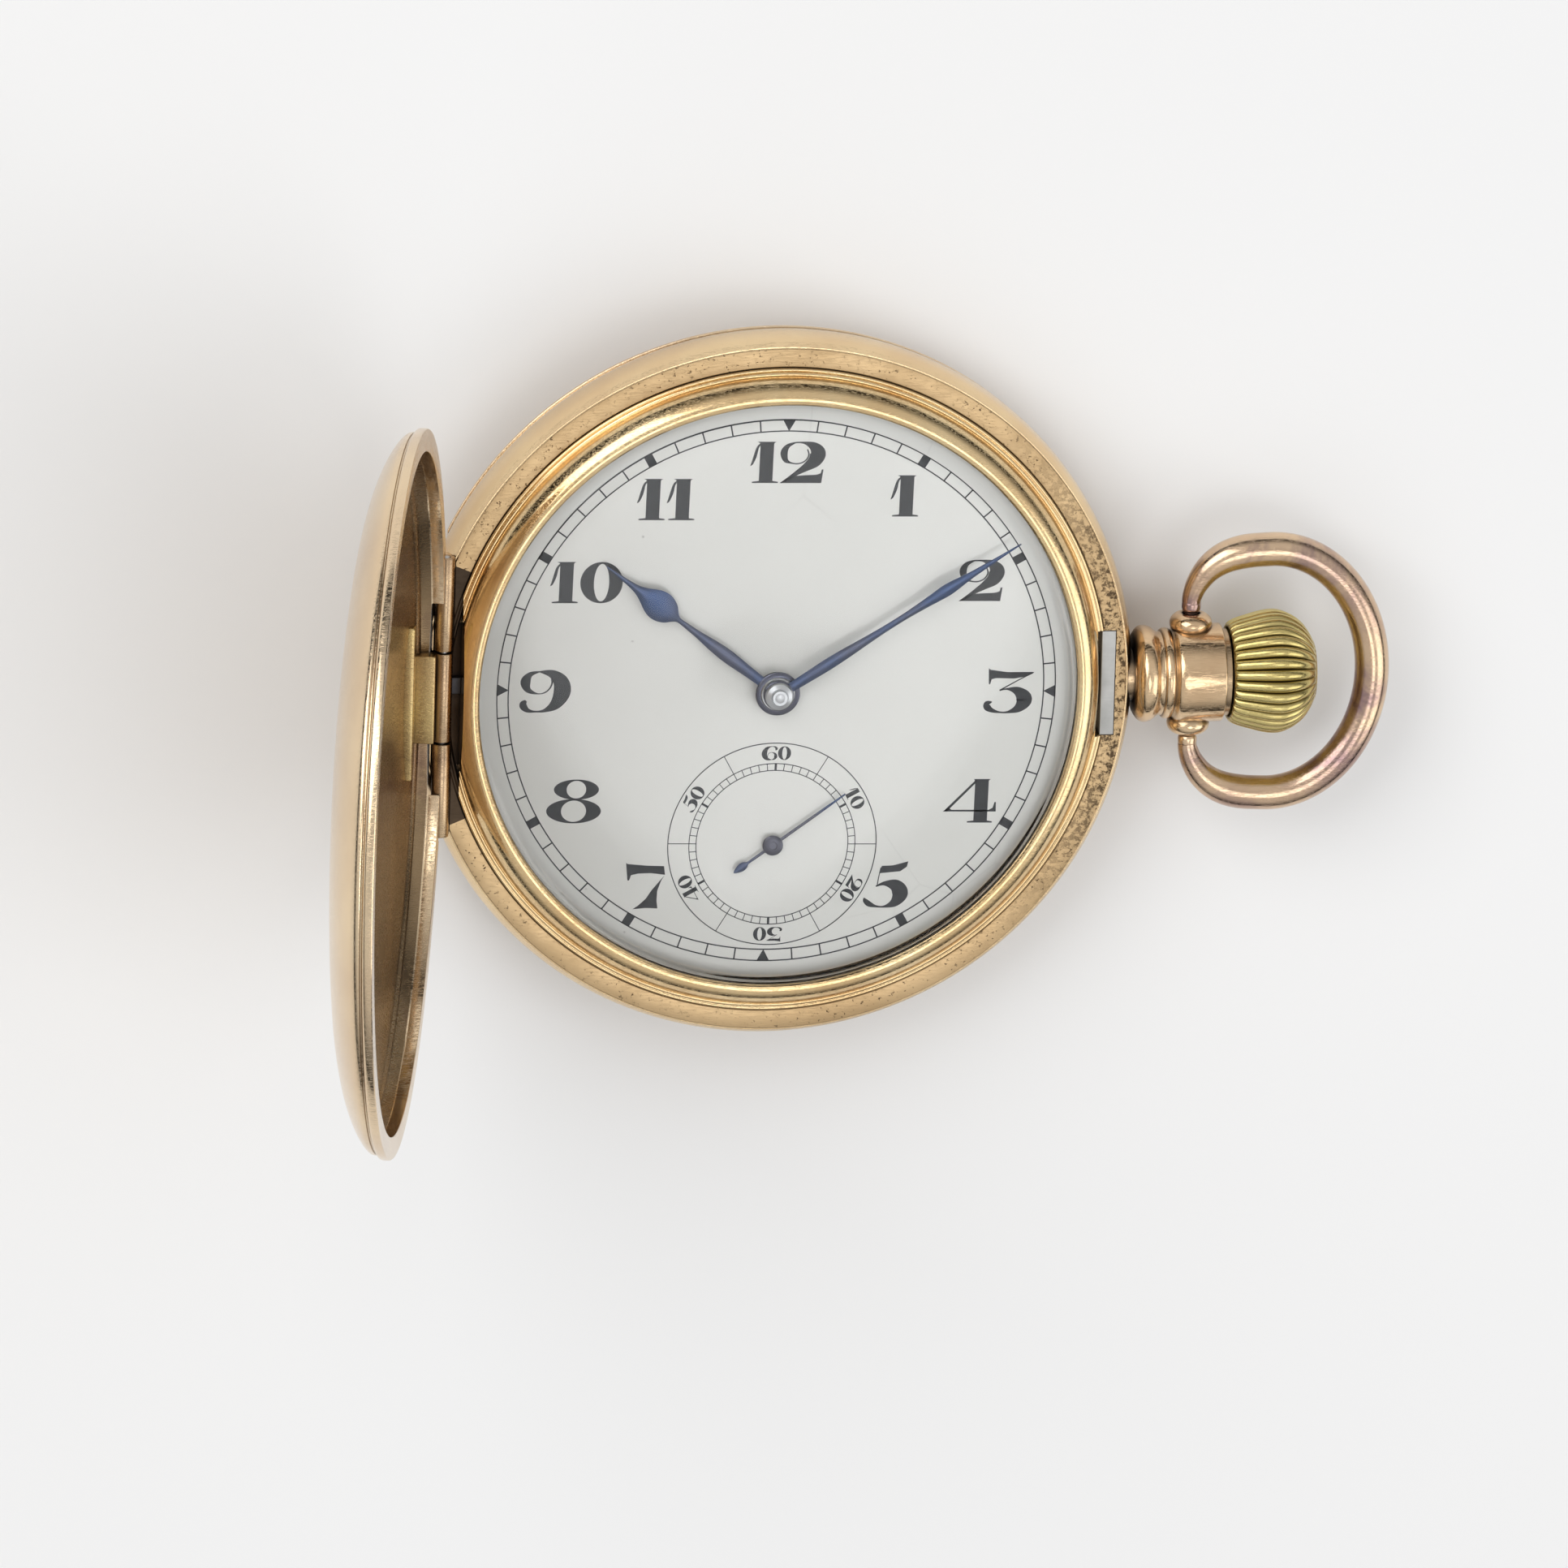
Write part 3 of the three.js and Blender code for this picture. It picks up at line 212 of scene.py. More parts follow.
class Nodes:
    """Short calls for making a material's node tree."""

    def __init__(self, name):
        self.material = bpy.data.materials.new(name)
        self.material.use_nodes = True
        self.tree = self.material.node_tree
        self.shader = self.tree.nodes["Principled BSDF"]
        self.coords = self.tree.nodes.new("ShaderNodeTexCoord").outputs["Object"]

    def link(self, source, target):
        self.tree.links.new(source, target)

    def scaled(self, scale):
        node = self.tree.nodes.new("ShaderNodeMapping")
        node.inputs["Scale"].default_value = scale
        self.link(self.coords, node.inputs["Vector"])
        return node.outputs["Vector"]

    def noise(self, scale, detail=3.0, rough=0.5, vector=None, distortion=0.0):
        node = self.tree.nodes.new("ShaderNodeTexNoise")
        node.inputs["Scale"].default_value = scale
        node.inputs["Detail"].default_value = detail
        node.inputs["Roughness"].default_value = rough
        node.inputs["Distortion"].default_value = distortion
        self.link(vector or self.coords, node.inputs["Vector"])
        return node.outputs["Fac"]

    def voronoi(self, scale, vector=None, feature="F1"):
        node = self.tree.nodes.new("ShaderNodeTexVoronoi")
        node.feature = feature
        node.inputs["Scale"].default_value = scale
        self.link(vector or self.coords, node.inputs["Vector"])
        return node.outputs["Distance"]

    def ramp(self, source, stops):
        node = self.tree.nodes.new("ShaderNodeValToRGB")
        elements = node.color_ramp.elements
        while len(elements) < len(stops):
            elements.new(0.5)
        for element, (place, colour) in zip(elements, stops):
            element.position = place
            if isinstance(colour, (int, float)):
                colour = (colour, colour, colour)
            element.color = (*colour, 1)
        self.link(source, node.inputs["Fac"])
        return node.outputs["Color"]

    def math(self, operation, a, b=None):
        node = self.tree.nodes.new("ShaderNodeMath")
        node.operation = operation
        for socket, value in zip(node.inputs, (a, b)):
            if value is None:
                continue
            if isinstance(value, (int, float)):
                socket.default_value = value
            else:
                self.link(value, socket)
        return node.outputs[0]

    def mix(self, factor, a, b):
        node = self.tree.nodes.new("ShaderNodeMix")
        node.data_type = "RGBA"
        for socket, value in ((node.inputs[0], factor), (node.inputs[6], a), (node.inputs[7], b)):
            if isinstance(value, (int, float)):
                socket.default_value = value
            elif isinstance(value, tuple):
                socket.default_value = (*value, 1)
            else:
                self.link(value, socket)
        return node.outputs[2]

    def bump(self, height, strength, distance):
        node = self.tree.nodes.new("ShaderNodeBump")
        node.inputs["Strength"].default_value = strength
        node.inputs["Distance"].default_value = distance
        self.link(height, node.inputs["Height"])
        return node.outputs["Normal"]

    def separate(self):
        node = self.tree.nodes.new("ShaderNodeSeparateXYZ")
        self.link(self.coords, node.inputs[0])
        return node.outputs

    def dirt(self, distance):
        """How far a point is hidden from open light, from 0 in the open to 1 deep in a crease; it drives
        painted shade.
        """
        node = self.tree.nodes.new("ShaderNodeAmbientOcclusion")
        node.inputs["Distance"].default_value = distance
        node.samples = 6
        return self.math("SUBTRACT", 1.0, node.outputs["AO"])

    def set(self, **values):
        for key, value in values.items():
            socket = self.shader.inputs[key.replace("_", " ")]
            if hasattr(value, "links"):
                self.link(value, socket)
            elif isinstance(value, tuple):
                socket.default_value = (*value, 1)
            else:
                socket.default_value = value


def scratches(n, scale, stretch, spin):
    """Thin hairline marks that run mostly one way."""
    node = n.tree.nodes.new("ShaderNodeMapping")
    node.inputs["Rotation"].default_value = (spin, spin * 0.6, spin * 1.3)
    node.inputs["Scale"].default_value = (1.0, stretch, stretch)
    n.link(n.coords, node.inputs["Vector"])
    lines = n.noise(scale, 4.0, 0.6, node.outputs["Vector"])
    return n.ramp(lines, [(0.56, 0.0), (0.64, 1.0)])


def gold(name, light, deep, rough=0.22, pits=0.0, grime_and_shade=(0.05, 0.04, 0.035), stain=None, wear=0.5,
         crease_shade_start=0.35, crease_shade_full=0.85, crease_shade_reach=0.0006):
    """Old polished gold: soft colour drift, hairlines, small dings, and grime with painted shade that darkens
    the creases.
    """
    n = Nodes(name)
    drift = n.noise(120, 4.0, 0.6)
    colour = n.mix(n.ramp(drift, [(0.35, 0.0), (0.65, 1.0)]), light, deep)
    if stain:
        patch = n.ramp(n.noise(85, 5.0, 0.65, distortion=0.6), [(0.5, 0.0), (0.68, 1.0)])
        colour = n.mix(patch, colour, stain)
    fine_a = scratches(n, 900, 9.0, 0.5)
    fine_b = scratches(n, 1300, 11.0, 2.1)
    hair = n.math("MAXIMUM", fine_a, fine_b)
    height = n.math("MULTIPLY", hair, -0.25 * wear)
    dents = n.noise(260, 2.0, 0.4)
    height = n.math("ADD", height, n.math("MULTIPLY", dents, 0.35 * wear))
    if pits:
        small = n.ramp(n.noise(3600, 2.0, 0.7), [(0.3, 1.0), (0.37, 0.0)])
        large = n.ramp(n.noise(1700, 3.0, 0.7), [(0.27, 1.0), (0.335, 0.0)])
        crowd = n.ramp(n.noise(230, 2.0), [(0.38, 0.25), (0.6, 1.0)])
        spots = n.math("MULTIPLY", n.math("MAXIMUM", small, large), crowd)
        crusted = n.ramp(n.noise(2400, 6.0, 0.8), [(0.5, 0.0), (0.56, 1.0)])
        by_latch = n.ramp(n.separate()[0], [(0.0185, 0.0), (0.0225, 1.0)])
        spots = n.math("MAXIMUM", spots, n.math("MULTIPLY", crusted, by_latch))
        colour = n.mix(n.math("MULTIPLY", spots, pits), colour, (0.075, 0.05, 0.03))
        height = n.math("SUBTRACT", height, n.math("MULTIPLY", spots, 2.0 * pits))
    # Grime and painted shade: the colour goes dark where ambient occlusion finds the creases shaded.
    grime_and_shade_mask = n.ramp(n.dirt(crease_shade_reach), [(crease_shade_start, 0.0), (crease_shade_full, 1.0)])
    colour = n.mix(grime_and_shade_mask, colour, grime_and_shade)
    roughness = n.math("ADD", rough - 0.05, n.math("MULTIPLY", n.noise(420, 3.0), 0.1))
    roughness = n.math("ADD", roughness, n.math("MULTIPLY", hair, 0.1 * wear))
    roughness = n.math("ADD", roughness, n.math("MULTIPLY", grime_and_shade_mask, 0.3))
    n.set(Base_Color=colour, Roughness=roughness, Metallic=1.0, Normal=n.bump(height, 0.35, 0.00006))
    return n.material


def steel(name, light, deep, rough=0.25, brush=0.0):
    """Steel with cloudy colour and fine lines drawn along X."""
    n = Nodes(name)
    colour = n.mix(n.noise(500, 3.0), light, deep)
    lines = n.noise(700, 3.0, 0.6, n.scaled((1.0, 14.0, 1.0)))
    roughness = n.math("ADD", rough, n.math("MULTIPLY", lines, 0.18))
    n.set(Base_Color=colour, Roughness=roughness, Metallic=1.0,
          Normal=n.bump(lines, 0.1 + brush, 0.00002))
    return n.material


def blued(name, blue, purple):
    """Heat-blued steel: blue that drifts to purple-grey, with a bright grazing sheen."""
    n = Nodes(name)
    drift = n.ramp(n.noise(180, 2.0), [(0.38, 0.0), (0.62, 1.0)])
    n.set(Base_Color=n.mix(drift, blue, purple),
          Roughness=n.math("ADD", 0.24, n.math("MULTIPLY", n.noise(900), 0.12)), Metallic=1.0,
          Normal=n.bump(n.noise(1500, 2.0), 0.06, 0.00002))
    return n.material


def enamel_material():
    """White fired enamel with faint hairline cracks, specks and a thin clear coat."""
    n = Nodes("dial_enamel")
    cloud = n.noise(70, 4.0, 0.6)
    colour = n.mix(cloud, (0.86, 0.855, 0.82), (0.80, 0.80, 0.765))
    crack = n.voronoi(95, n.scaled((1.0, 0.75, 1.0)), "DISTANCE_TO_EDGE")
    line = n.ramp(crack, [(0.0, 1.0), (0.006, 0.0)])
    patch = n.ramp(n.noise(45, 2.0), [(0.56, 0.0), (0.66, 1.0)])
    colour = n.mix(n.math("MULTIPLY", n.math("MULTIPLY", line, patch), 0.13), colour, (0.36, 0.34, 0.31))
    specks = n.ramp(n.voronoi(420), [(0.03, 1.0), (0.06, 0.0)])
    sparse = n.ramp(n.noise(300, 1.0), [(0.58, 0.0), (0.6, 1.0)])
    colour = n.mix(n.math("MULTIPLY", n.math("MULTIPLY", specks, sparse), 0.5), colour, (0.3, 0.29, 0.27))
    n.set(Base_Color=colour, Roughness=n.math("ADD", 0.12, n.math("MULTIPLY", cloud, 0.12)), Metallic=0.0,
          Normal=n.bump(n.noise(160, 2.0), 0.05, 0.00005))
    n.shader.inputs["Coat Weight"].default_value = 0.4
    n.shader.inputs["Coat Roughness"].default_value = 0.05
    return n.material


def ink_material():
    """Black fired paint."""
    n = Nodes("dial_ink")
    colour = n.mix(n.noise(1500, 3.0), (0.012, 0.013, 0.017), (0.034, 0.036, 0.042))
    n.set(Base_Color=colour, Roughness=n.math("ADD", 0.3, n.math("MULTIPLY", n.noise(800), 0.15)),
          Metallic=0.0)
    return n.material


def glass_material():
    """Clear glass with faint smears."""
    n = Nodes("watch_glass")
    smear = n.noise(60, 3.0)
    n.set(Base_Color=(0.985, 0.99, 0.99), Metallic=0.0,
          Roughness=n.math("MULTIPLY", n.ramp(smear, [(0.45, 0.0), (0.8, 1.0)]), 0.03),
          Normal=n.bump(n.noise(35, 1.0), 0.02, 0.0001))
    n.shader.inputs["Transmission Weight"].default_value = 1.0
    n.shader.inputs["IOR"].default_value = 1.2
    return n.material


def plate_material():
    """Nickelled movement plates with broad polishing stripes."""
    n = Nodes("nickel_plate_finish")
    x, y, _ = n.separate()
    stripe = n.math("FRACT", n.math("MULTIPLY", n.math("ADD", x, n.math("MULTIPLY", y, 0.35)), 560.0))
    ridge = n.math("ABSOLUTE", n.math("SUBTRACT", stripe, 0.5))
    grain = n.noise(900, 4.0, 0.6, n.scaled((6.0, 1.0, 1.0)))
    colour = n.mix(ridge, (0.72, 0.69, 0.60), (0.60, 0.575, 0.51))
    n.set(Base_Color=colour, Metallic=1.0, Roughness=n.math("ADD", 0.2, n.math("MULTIPLY", grain, 0.2)),
          Normal=n.bump(n.math("ADD", n.math("MULTIPLY", ridge, 1.2), n.math("MULTIPLY", grain, 0.2)), 0.25,
                        0.00006))
    return n.material


# Each gold below darkens its creases with grime and painted shade; the crease settings set how far it
# reaches.
ROSE = gold("rose_gold_polished", (0.84, 0.64, 0.38), (0.76, 0.55, 0.32), 0.14)
BEZEL_GOLD = gold("rose_gold_bezel", (0.82, 0.63, 0.36), (0.74, 0.51, 0.26), 0.12, crease_shade_start=0.6)
SEAT_GOLD = gold("rose_gold_matte", (0.60, 0.43, 0.24), (0.48, 0.33, 0.175), 0.36,
                 pits=0.95, crease_shade_start=0.62)
LID_GOLD = gold("rose_gold_lid", (0.83, 0.65, 0.43), (0.74, 0.56, 0.37), 0.13, wear=0.7)
LID_INSIDE = gold("lid_tarnish", (0.36, 0.25, 0.14), (0.24, 0.165, 0.095), 0.26,
                  stain=(0.19, 0.115, 0.08), wear=0.6)
HINGE_GOLD = gold("hinge_worn_gold", (0.68, 0.50, 0.30), (0.42, 0.29, 0.18), 0.24,
                  stain=(0.16, 0.11, 0.085), crease_shade_start=0.22)
BOSS_GOLD = gold("boss_worn_gold", (0.66, 0.50, 0.22), (0.44, 0.30, 0.15), 0.26,
                 stain=(0.17, 0.11, 0.06), wear=0.8)
BOW_GOLD = gold("bow_tarnished_gold", (0.76, 0.56, 0.37), (0.60, 0.42, 0.29), 0.15,
                stain=(0.26, 0.16, 0.19))
PENDANT_GOLD = gold("pendant_gold", (0.82, 0.61, 0.38), (0.72, 0.50, 0.30), 0.13,
                    crease_shade_start=0.22, crease_shade_full=0.62, crease_shade_reach=0.001)
CROWN_GOLD = gold("crown_yellow_gold", (0.70, 0.58, 0.25), (0.56, 0.45, 0.17), 0.22,
                  grime_and_shade=(0.06, 0.045, 0.02), crease_shade_start=0.18, crease_shade_full=0.7)
TARNISHED = gold("inner_cover_tarnish", (0.60, 0.44, 0.30), (0.45, 0.32, 0.23), 0.3)
# Near-black gold for the recess behind the hinge: grime with painted shade.
RECESS_GRIME_AND_SHADE = gold("hinge_recess_grime_and_shade", (0.10, 0.07, 0.045), (0.05, 0.035, 0.025), 0.45)
STEEL = steel("polished_steel", (0.60, 0.61, 0.62), (0.46, 0.47, 0.49))
DARK_STEEL = steel("dark_spring_steel", (0.10, 0.095, 0.10), (0.05, 0.05, 0.055), 0.4)
LATCH_STEEL = steel("latch_steel", (0.72, 0.72, 0.70), (0.34, 0.34, 0.33), 0.5, 0.6)
BLUE = blued("blued_steel_hands", (0.05, 0.075, 0.15), (0.10, 0.10, 0.125))
HUB_STEEL = blued("blued_steel_hub", (0.085, 0.09, 0.125), (0.11, 0.105, 0.12))
ENAMEL = enamel_material()
INK = ink_material()
GLASS = glass_material()
PLATE = plate_material()
WHEEL_BRASS = gold("wheel_brass_finish", (0.80, 0.66, 0.34), (0.68, 0.54, 0.27), 0.24, wear=0.3)


def assign(mesh, chooser):
    """Gives each face the material index that chooser(centre in mm, normal) names."""
    for face in mesh.polygons:
        face.material_index = chooser(face.center / MM, face.normal)


def ring_radius(p):
    """Distance from the dial's axis."""
    return math.hypot(p.x, p.y)


def cut_all(mesh, cutters):
    for cutter in cutters:
        mesh = boolean(mesh, cutter)
    return mesh


def block(name, x, y, z, bevel, body, material, nodes=()):
    """A bevelled block between two limits in each of X, Y and Z."""
    mesh = box_mesh(name, *sorted(x), *sorted(y), *sorted(z), bevel)
    sharpen(mesh)
    return new_object(name, mesh, body, [material], nodes)


# The case middle: band, cover seat and the fixed hinge barrels.
BAND_PROFILE = (
    fillet([(21.9, 5.1), (21.9, 4.06), (24.85, 4.06)], 0.1, 2, closed=False)
    + curve([(24.95, 4.1), (25.2, 4.5), (25.38, 5.3), (25.42, 6.2), (25.34, 7.1), (25.12, 7.75)], 4)
    + fillet([
        (24.98, 7.92), (24.92, 8.1), (24.8, 8.1), (24.76, 8.2), (23.5, 8.2), (23.42, 8.13), (23.3, 8.13),
        (23.22, 8.2), (23.12, 8.2), (23.02, 7.85), (22.96, 7.7), (21.5, 7.7), (21.5, 7.6), (20.75, 7.6),
        (20.75, 5.1)
    ], 0.04, 2, closed=False))
HINGE_REACH = 10.4
HINGE_BORE = 0.74
CATCH_SLOT = (22.66, 24.02, -3.83, 3.83, 6.9, 9)
band = to_mesh(lathe_bm(BAND_PROFILE), "case_band")
band = cut_all(band, [
    box_mesh("c", -27, -24.3, -HINGE_REACH, HINGE_REACH, 3, 9),
    rod("c", HINGE_X, HINGE_Z, HINGE_BORE, -HINGE_REACH, HINGE_REACH, 40, 0.01),
    rod("c", HINGE_X, BACK_HINGE_Z, HINGE_BORE, -HINGE_REACH, HINGE_REACH, 40, 0.01),
    box_mesh("c", -27, -22.9, -3.35, 3.35, 7.4, 9),
    box_mesh("c", -27, -22.9, -4.85, 4.85, 3, 4.8),
    box_mesh("c", *CATCH_SLOT),
])
bore_profile = [(0, 19), (0.8, 19), (0.8, 24.2), (1.95, 24.2), (1.95, 27), (0, 27)]
bore = to_mesh(lathe_bm(bore_profile, closed=False, segments=48), "c", along_x_matrix())
band = boolean(band, bore)
sharpen(band, 30)


def band_face(p, n):
    """The cover seat is matt and pitted, and the recess behind the hinge gets a near-black finish for grime
    and painted shade.
    """
    if p.x < -21.6 and abs(p.y) < 9.2 and ring_radius(p) < 24.2 and p.z < 8.6:
        return 2
    if p.z > 8.05 and 23.05 < ring_radius(p) < 24.78:
        return 1
    return 0


assign(band, band_face)
new_object("case_band", band, "case", [ROSE, SEAT_GOLD, RECESS_GRIME_AND_SHADE], ["case_middle"])


KNUCKLE_R, KNUCKLE_BORE, KNUCKLE_GAP = 0.65, 0.34, 0.03


def knuckle(name, z, y0, y1, body, material):
    """One barrel of a hinge, bored for the pin and a little short of its neighbours."""
    low, high = sorted((y0, y1))
    mesh = rod(name, HINGE_X, z, KNUCKLE_R, low + KNUCKLE_GAP, high - KNUCKLE_GAP)
    mesh = boolean(mesh, rod("c", HINGE_X, z, KNUCKLE_BORE, low - 1, high + 1, 24, 0.01))
    sharpen(mesh, 40)
    return new_object(name, mesh, body, [material])


for side, label in ((1, "upper"), (-1, "lower")):
    knuckle("front_knuckle_" + label, HINGE_Z, side * 3.35, side * 10.2, "case", HINGE_GOLD)
    knuckle("back_knuckle_" + label, BACK_HINGE_Z, side * 4.85, side * 10.2, "case", ROSE)
    block("front_knuckle_foot_" + label, (-24.0, -23.0), (side * 3.4, side * 10.15), (7.0, 7.85), 0.08,
          "case", ROSE)
    block("back_knuckle_foot_" + label, (-24.0, -23.0), (side * 4.9, side * 10.15), (4.35, 5.2), 0.08,
          "case", ROSE)

for name, z in (("front_hinge_pin", HINGE_Z), ("back_hinge_pin", BACK_HINGE_Z)):
    pin = rod(name + "_round", HINGE_X, z, 0.3, -10.2, 10.2, 24, 0.06)
    sharpen(pin, 40)
    new_object(name + "_round", pin, "case", [STEEL], [name])

# The bezel with its domed glass.
BEZEL_PROFILE = (
    [(21.42, 7.76), (22.9, 7.76), (22.9, 8.19), (22.98, 8.215), (23.36, 8.215)]
    + curve([(23.4, 8.24), (23.38, 8.32), (23.28, 8.37), (23.17, 8.34)], 3)
    + curve([(23.14, 8.34), (23.12, 8.44), (22.98, 8.5), (22.87, 8.46)], 3)
    + curve([(22.85, 8.46), (22.8, 8.78), (22.6, 9.16), (22.25, 9.56), (21.9, 9.8), (21.55, 9.9),
             (21.25, 9.85)], 5)
    + [(21.12, 9.72), (21.1, 9.62), (21.1, 9.45), (21.58, 9.45), (21.58, 9.0), (21.42, 9.0)])
bezel = cut_all(to_mesh(lathe_bm(BEZEL_PROFILE), "bezel_ring"), [
    box_mesh("c", -24, -22.2, -9, 9, 7, 10.2),
    box_mesh("c", 22.64, 24, -3.85, 3.85, 6.9, 9),
])
sharpen(bezel, 30)
new_object("bezel_ring", bezel, "case", [BEZEL_GOLD], ["front_bezel"])

GLASS_PROFILE = (
    curve([(0, 10.95), (6, 10.9), (12, 10.75), (16.5, 10.5), (19.4, 10.2), (20.35, 9.8), (20.9, 9.1)], 5)
    + [(21.5, 9.07), (21.5, 9.36), (21.05, 9.4)]
    + curve([(20.95, 9.6), (20.55, 10.3), (19.5, 10.62), (16.5, 10.86), (12, 11.08), (6, 11.24),
             (0, 11.3)], 5))
glass = to_mesh(lathe_bm(GLASS_PROFILE, closed=False), "domed_glass")
sharpen(glass, 50)
new_object("domed_glass", glass, "case", [GLASS], ["crystal"])

# The front cover, made closed over the dial and then swung open about its hinge.
LID_PROFILE = (
    curve([(0, 12.25), (6, 12.22), (12, 11.98), (16.5, 11.6), (19.6, 11.12), (21.4, 10.62), (22.6, 10.15)], 5)
    + [(22.85, 10.12), (23.0, 9.95), (23.12, 9.9), (23.45, 9.86)]
    + fillet([(23.55, 9.7), (23.75, 9.1), (23.75, 8.27), (25.3, 8.27)], 0.07, 3, closed=False)
    + curve([(25.36, 8.34), (25.38, 8.6), (25.34, 8.85), (25.2, 8.98)], 3)
    + [(25.02, 9.0), (24.96, 9.06), (24.96, 9.14)]
    + curve([(25.04, 9.2), (25.06, 9.34), (24.95, 9.6), (24.55, 9.98), (23.8, 10.45), (22.7, 10.95),
             (21.2, 11.42), (19, 11.86), (15, 12.28), (10, 12.56), (5, 12.67), (0, 12.7)], 4))
OPENED = opened_matrix()
lid = to_mesh(lathe_bm(LID_PROFILE, closed=False), "cover_shell")


def prism(name, outline, y0, y1):
    """A bar along Y with the given (x, z) outline."""
    bm = bmesh.new()
    near = [bm.verts.new((x * MM, y0 * MM, z * MM)) for x, z in outline]
    far = [bm.verts.new((x * MM, y1 * MM, z * MM)) for x, z in outline]
    bm.faces.new(near)
    bm.faces.new(list(reversed(far)))
    for k in range(len(outline)):
        j = (k + 1) % len(outline)
        bm.faces.new((near[k], far[k], far[j], near[j]))
    bmesh.ops.recalc_face_normals(bm, faces=bm.faces)
    return to_mesh(bm, name)


HINGE_NOTCH = [(-27, 7), (-22.7, 7), (-22.7, 9.15), (-23.5, 9.33), (-25.5, 9.83), (-27, 10.2)]
lid = boolean(lid, prism("c", HINGE_NOTCH, -10.45, 10.45))
sharpen(lid, 32)


def lid_face(p, n):
    """Inside of the dome is tarnished, the rim is worn."""
    if n.z < 0.2 and ring_radius(p) < 23.72 and p.z > 9.0:
        return 1
    return 0


assign(lid, lid_face)
lid.transform(OPENED)
new_object("cover_shell", lid, "front_cover", [LID_GOLD, LID_INSIDE], ["front_cover"])

# The lid's boss and web stay inside this outline, which runs through the middle of the lid's wall.
LID_ROOM = [(0, 8.5), (24.4, 8.5), (24.4, 9.7), (23.8, 10.25), (22.7, 10.77), (21.2, 11.22), (19, 11.66),
            (15, 12.08), (0, 12.4)]
for name, limits, bevel in (("cover_boss", (-22.95, -20.98, -5.6, 5.6, 10.1, 11.1), 0.18),
                            ("cover_web", (-23.6, -22.32, -3.2, 3.2, 8.75, 10.6), 0.12)):
    room = to_mesh(lathe_bm(LID_ROOM, closed=False), "c")
    part = boolean(box_mesh(name, *limits, bevel), room, "INTERSECT")
    sharpen(part)
    part.transform(OPENED)
    new_object(name, part, "front_cover", [BOSS_GOLD])
knuckle("cover_knuckle", HINGE_Z, -3.25, 3.25, "front_cover", HINGE_GOLD)

# Back cover and dust cover.
BACK_PROFILE = (
    [(0, 0.0), (9.6, 0.0)]
    + curve([(10.4, 0.01), (13, 0.12), (16, 0.32), (18.5, 0.64), (20.5, 1.05), (22, 1.52), (23.2, 2.15),
             (24.2, 2.85), (24.9, 3.48)], 4)
    + [(25.08, 3.62), (25.2, 3.8), (25.18, 3.98), (25.1, 4.02), (23.6, 4.02), (23.5, 3.5)]
    + curve([(23.3, 3.3), (22.4, 2.48), (20.0, 1.5), (16, 0.8), (9.6, 0.46), (0, 0.45)], 4))
back = to_mesh(lathe_bm(BACK_PROFILE, closed=False), "back_shell")
back = boolean(back, box_mesh("c", -27, -22.75, -12, 12, -1, 5))
sharpen(back, 30)
new_object("back_shell", back, "back_cover", [LID_GOLD], ["back_cover"])
for side, label in ((1, "upper"), (-1, "lower")):
    knuckle("back_cover_knuckle_" + label, BACK_HINGE_Z, side * 1.6, side * 4.75,
            "back_cover", ROSE)
    block("back_cover_web_" + label, (-23.7, -22.4), (side * 1.65, side * 4.7), (2.3, 3.5), 0.1,
          "back_cover", ROSE)

INNER_PROFILE = (
    [(0, 1.15), (15.2, 1.15)]
    + curve([(15.8, 1.16), (17.5, 1.28), (19.2, 1.5), (20.2, 2.0), (20.8, 2.6), (21.2, 3.3)], 4)
    + fillet([(21.3, 3.45), (21.75, 3.6), (21.75, 4.4), (21.35, 4.4), (21.3, 3.8)], 0.06, 2, closed=False)
    + curve([(20.95, 3.6), (20.4, 2.75), (19.0, 1.82), (17.2, 1.56), (15.4, 1.45), (0, 1.45)], 4))
inner = to_mesh(lathe_bm(INNER_PROFILE, closed=False), "dust_cover")
sharpen(inner, 30)
new_object("dust_cover", inner, "inner_cover", [TARNISHED], ["inner_cover"])
block("dust_cover_arm", (-23.5, -21.2), (-1.4, 1.4), (3.45, 3.9), 0.08,
      "inner_cover", TARNISHED)
knuckle("dust_cover_knuckle", BACK_HINGE_Z, -1.45, 1.45, "inner_cover", TARNISHED)

# The catch of the lock spring in its slot at 3 o'clock.
block("lock_catch", (23.0, 23.98), (-3.78, 3.78), (7.0, 8.22), 0.05,
      "lock_spring", LATCH_STEEL, ["lock_spring"])

# The dark end of the spring that throws the cover open.
block("fly_spring_end", (-23.05, -22.2), (0.1, 1.3), (7.75, 8.15), 0.06, "case", DARK_STEEL)

# Pendant.
PENDANT_PROFILE = (
    [(0.8, 24.3), (1.86, 24.3), (1.86, 25.45)]
    + curve([(2.5, 25.5), (2.85, 25.62), (3.25, 25.9), (3.4, 26.25), (3.3, 26.75), (3.0, 27.15),
             (2.92, 27.4)], 5)
    + curve([(2.95, 27.5), (3.12, 27.6), (3.2, 27.85), (3.14, 28.1), (3.04, 28.22)], 4)
    + curve([(3.12, 28.34), (3.36, 28.5), (3.45, 28.8)], 3)
    + fillet([(3.45, 29.2), (3.45, 31.76), (3.06, 31.76), (3.06, 32.26), (2.32, 32.26), (2.32, 33.18),
              (0.8, 33.18)], 0.1, 3, closed=False))
neck = to_mesh(lathe_bm(PENDANT_PROFILE, segments=128), "pendant_tube", along_x_matrix())
sharpen(neck, 35)
new_object("pendant_tube", neck, "case", [PENDANT_GOLD], ["pendant"])

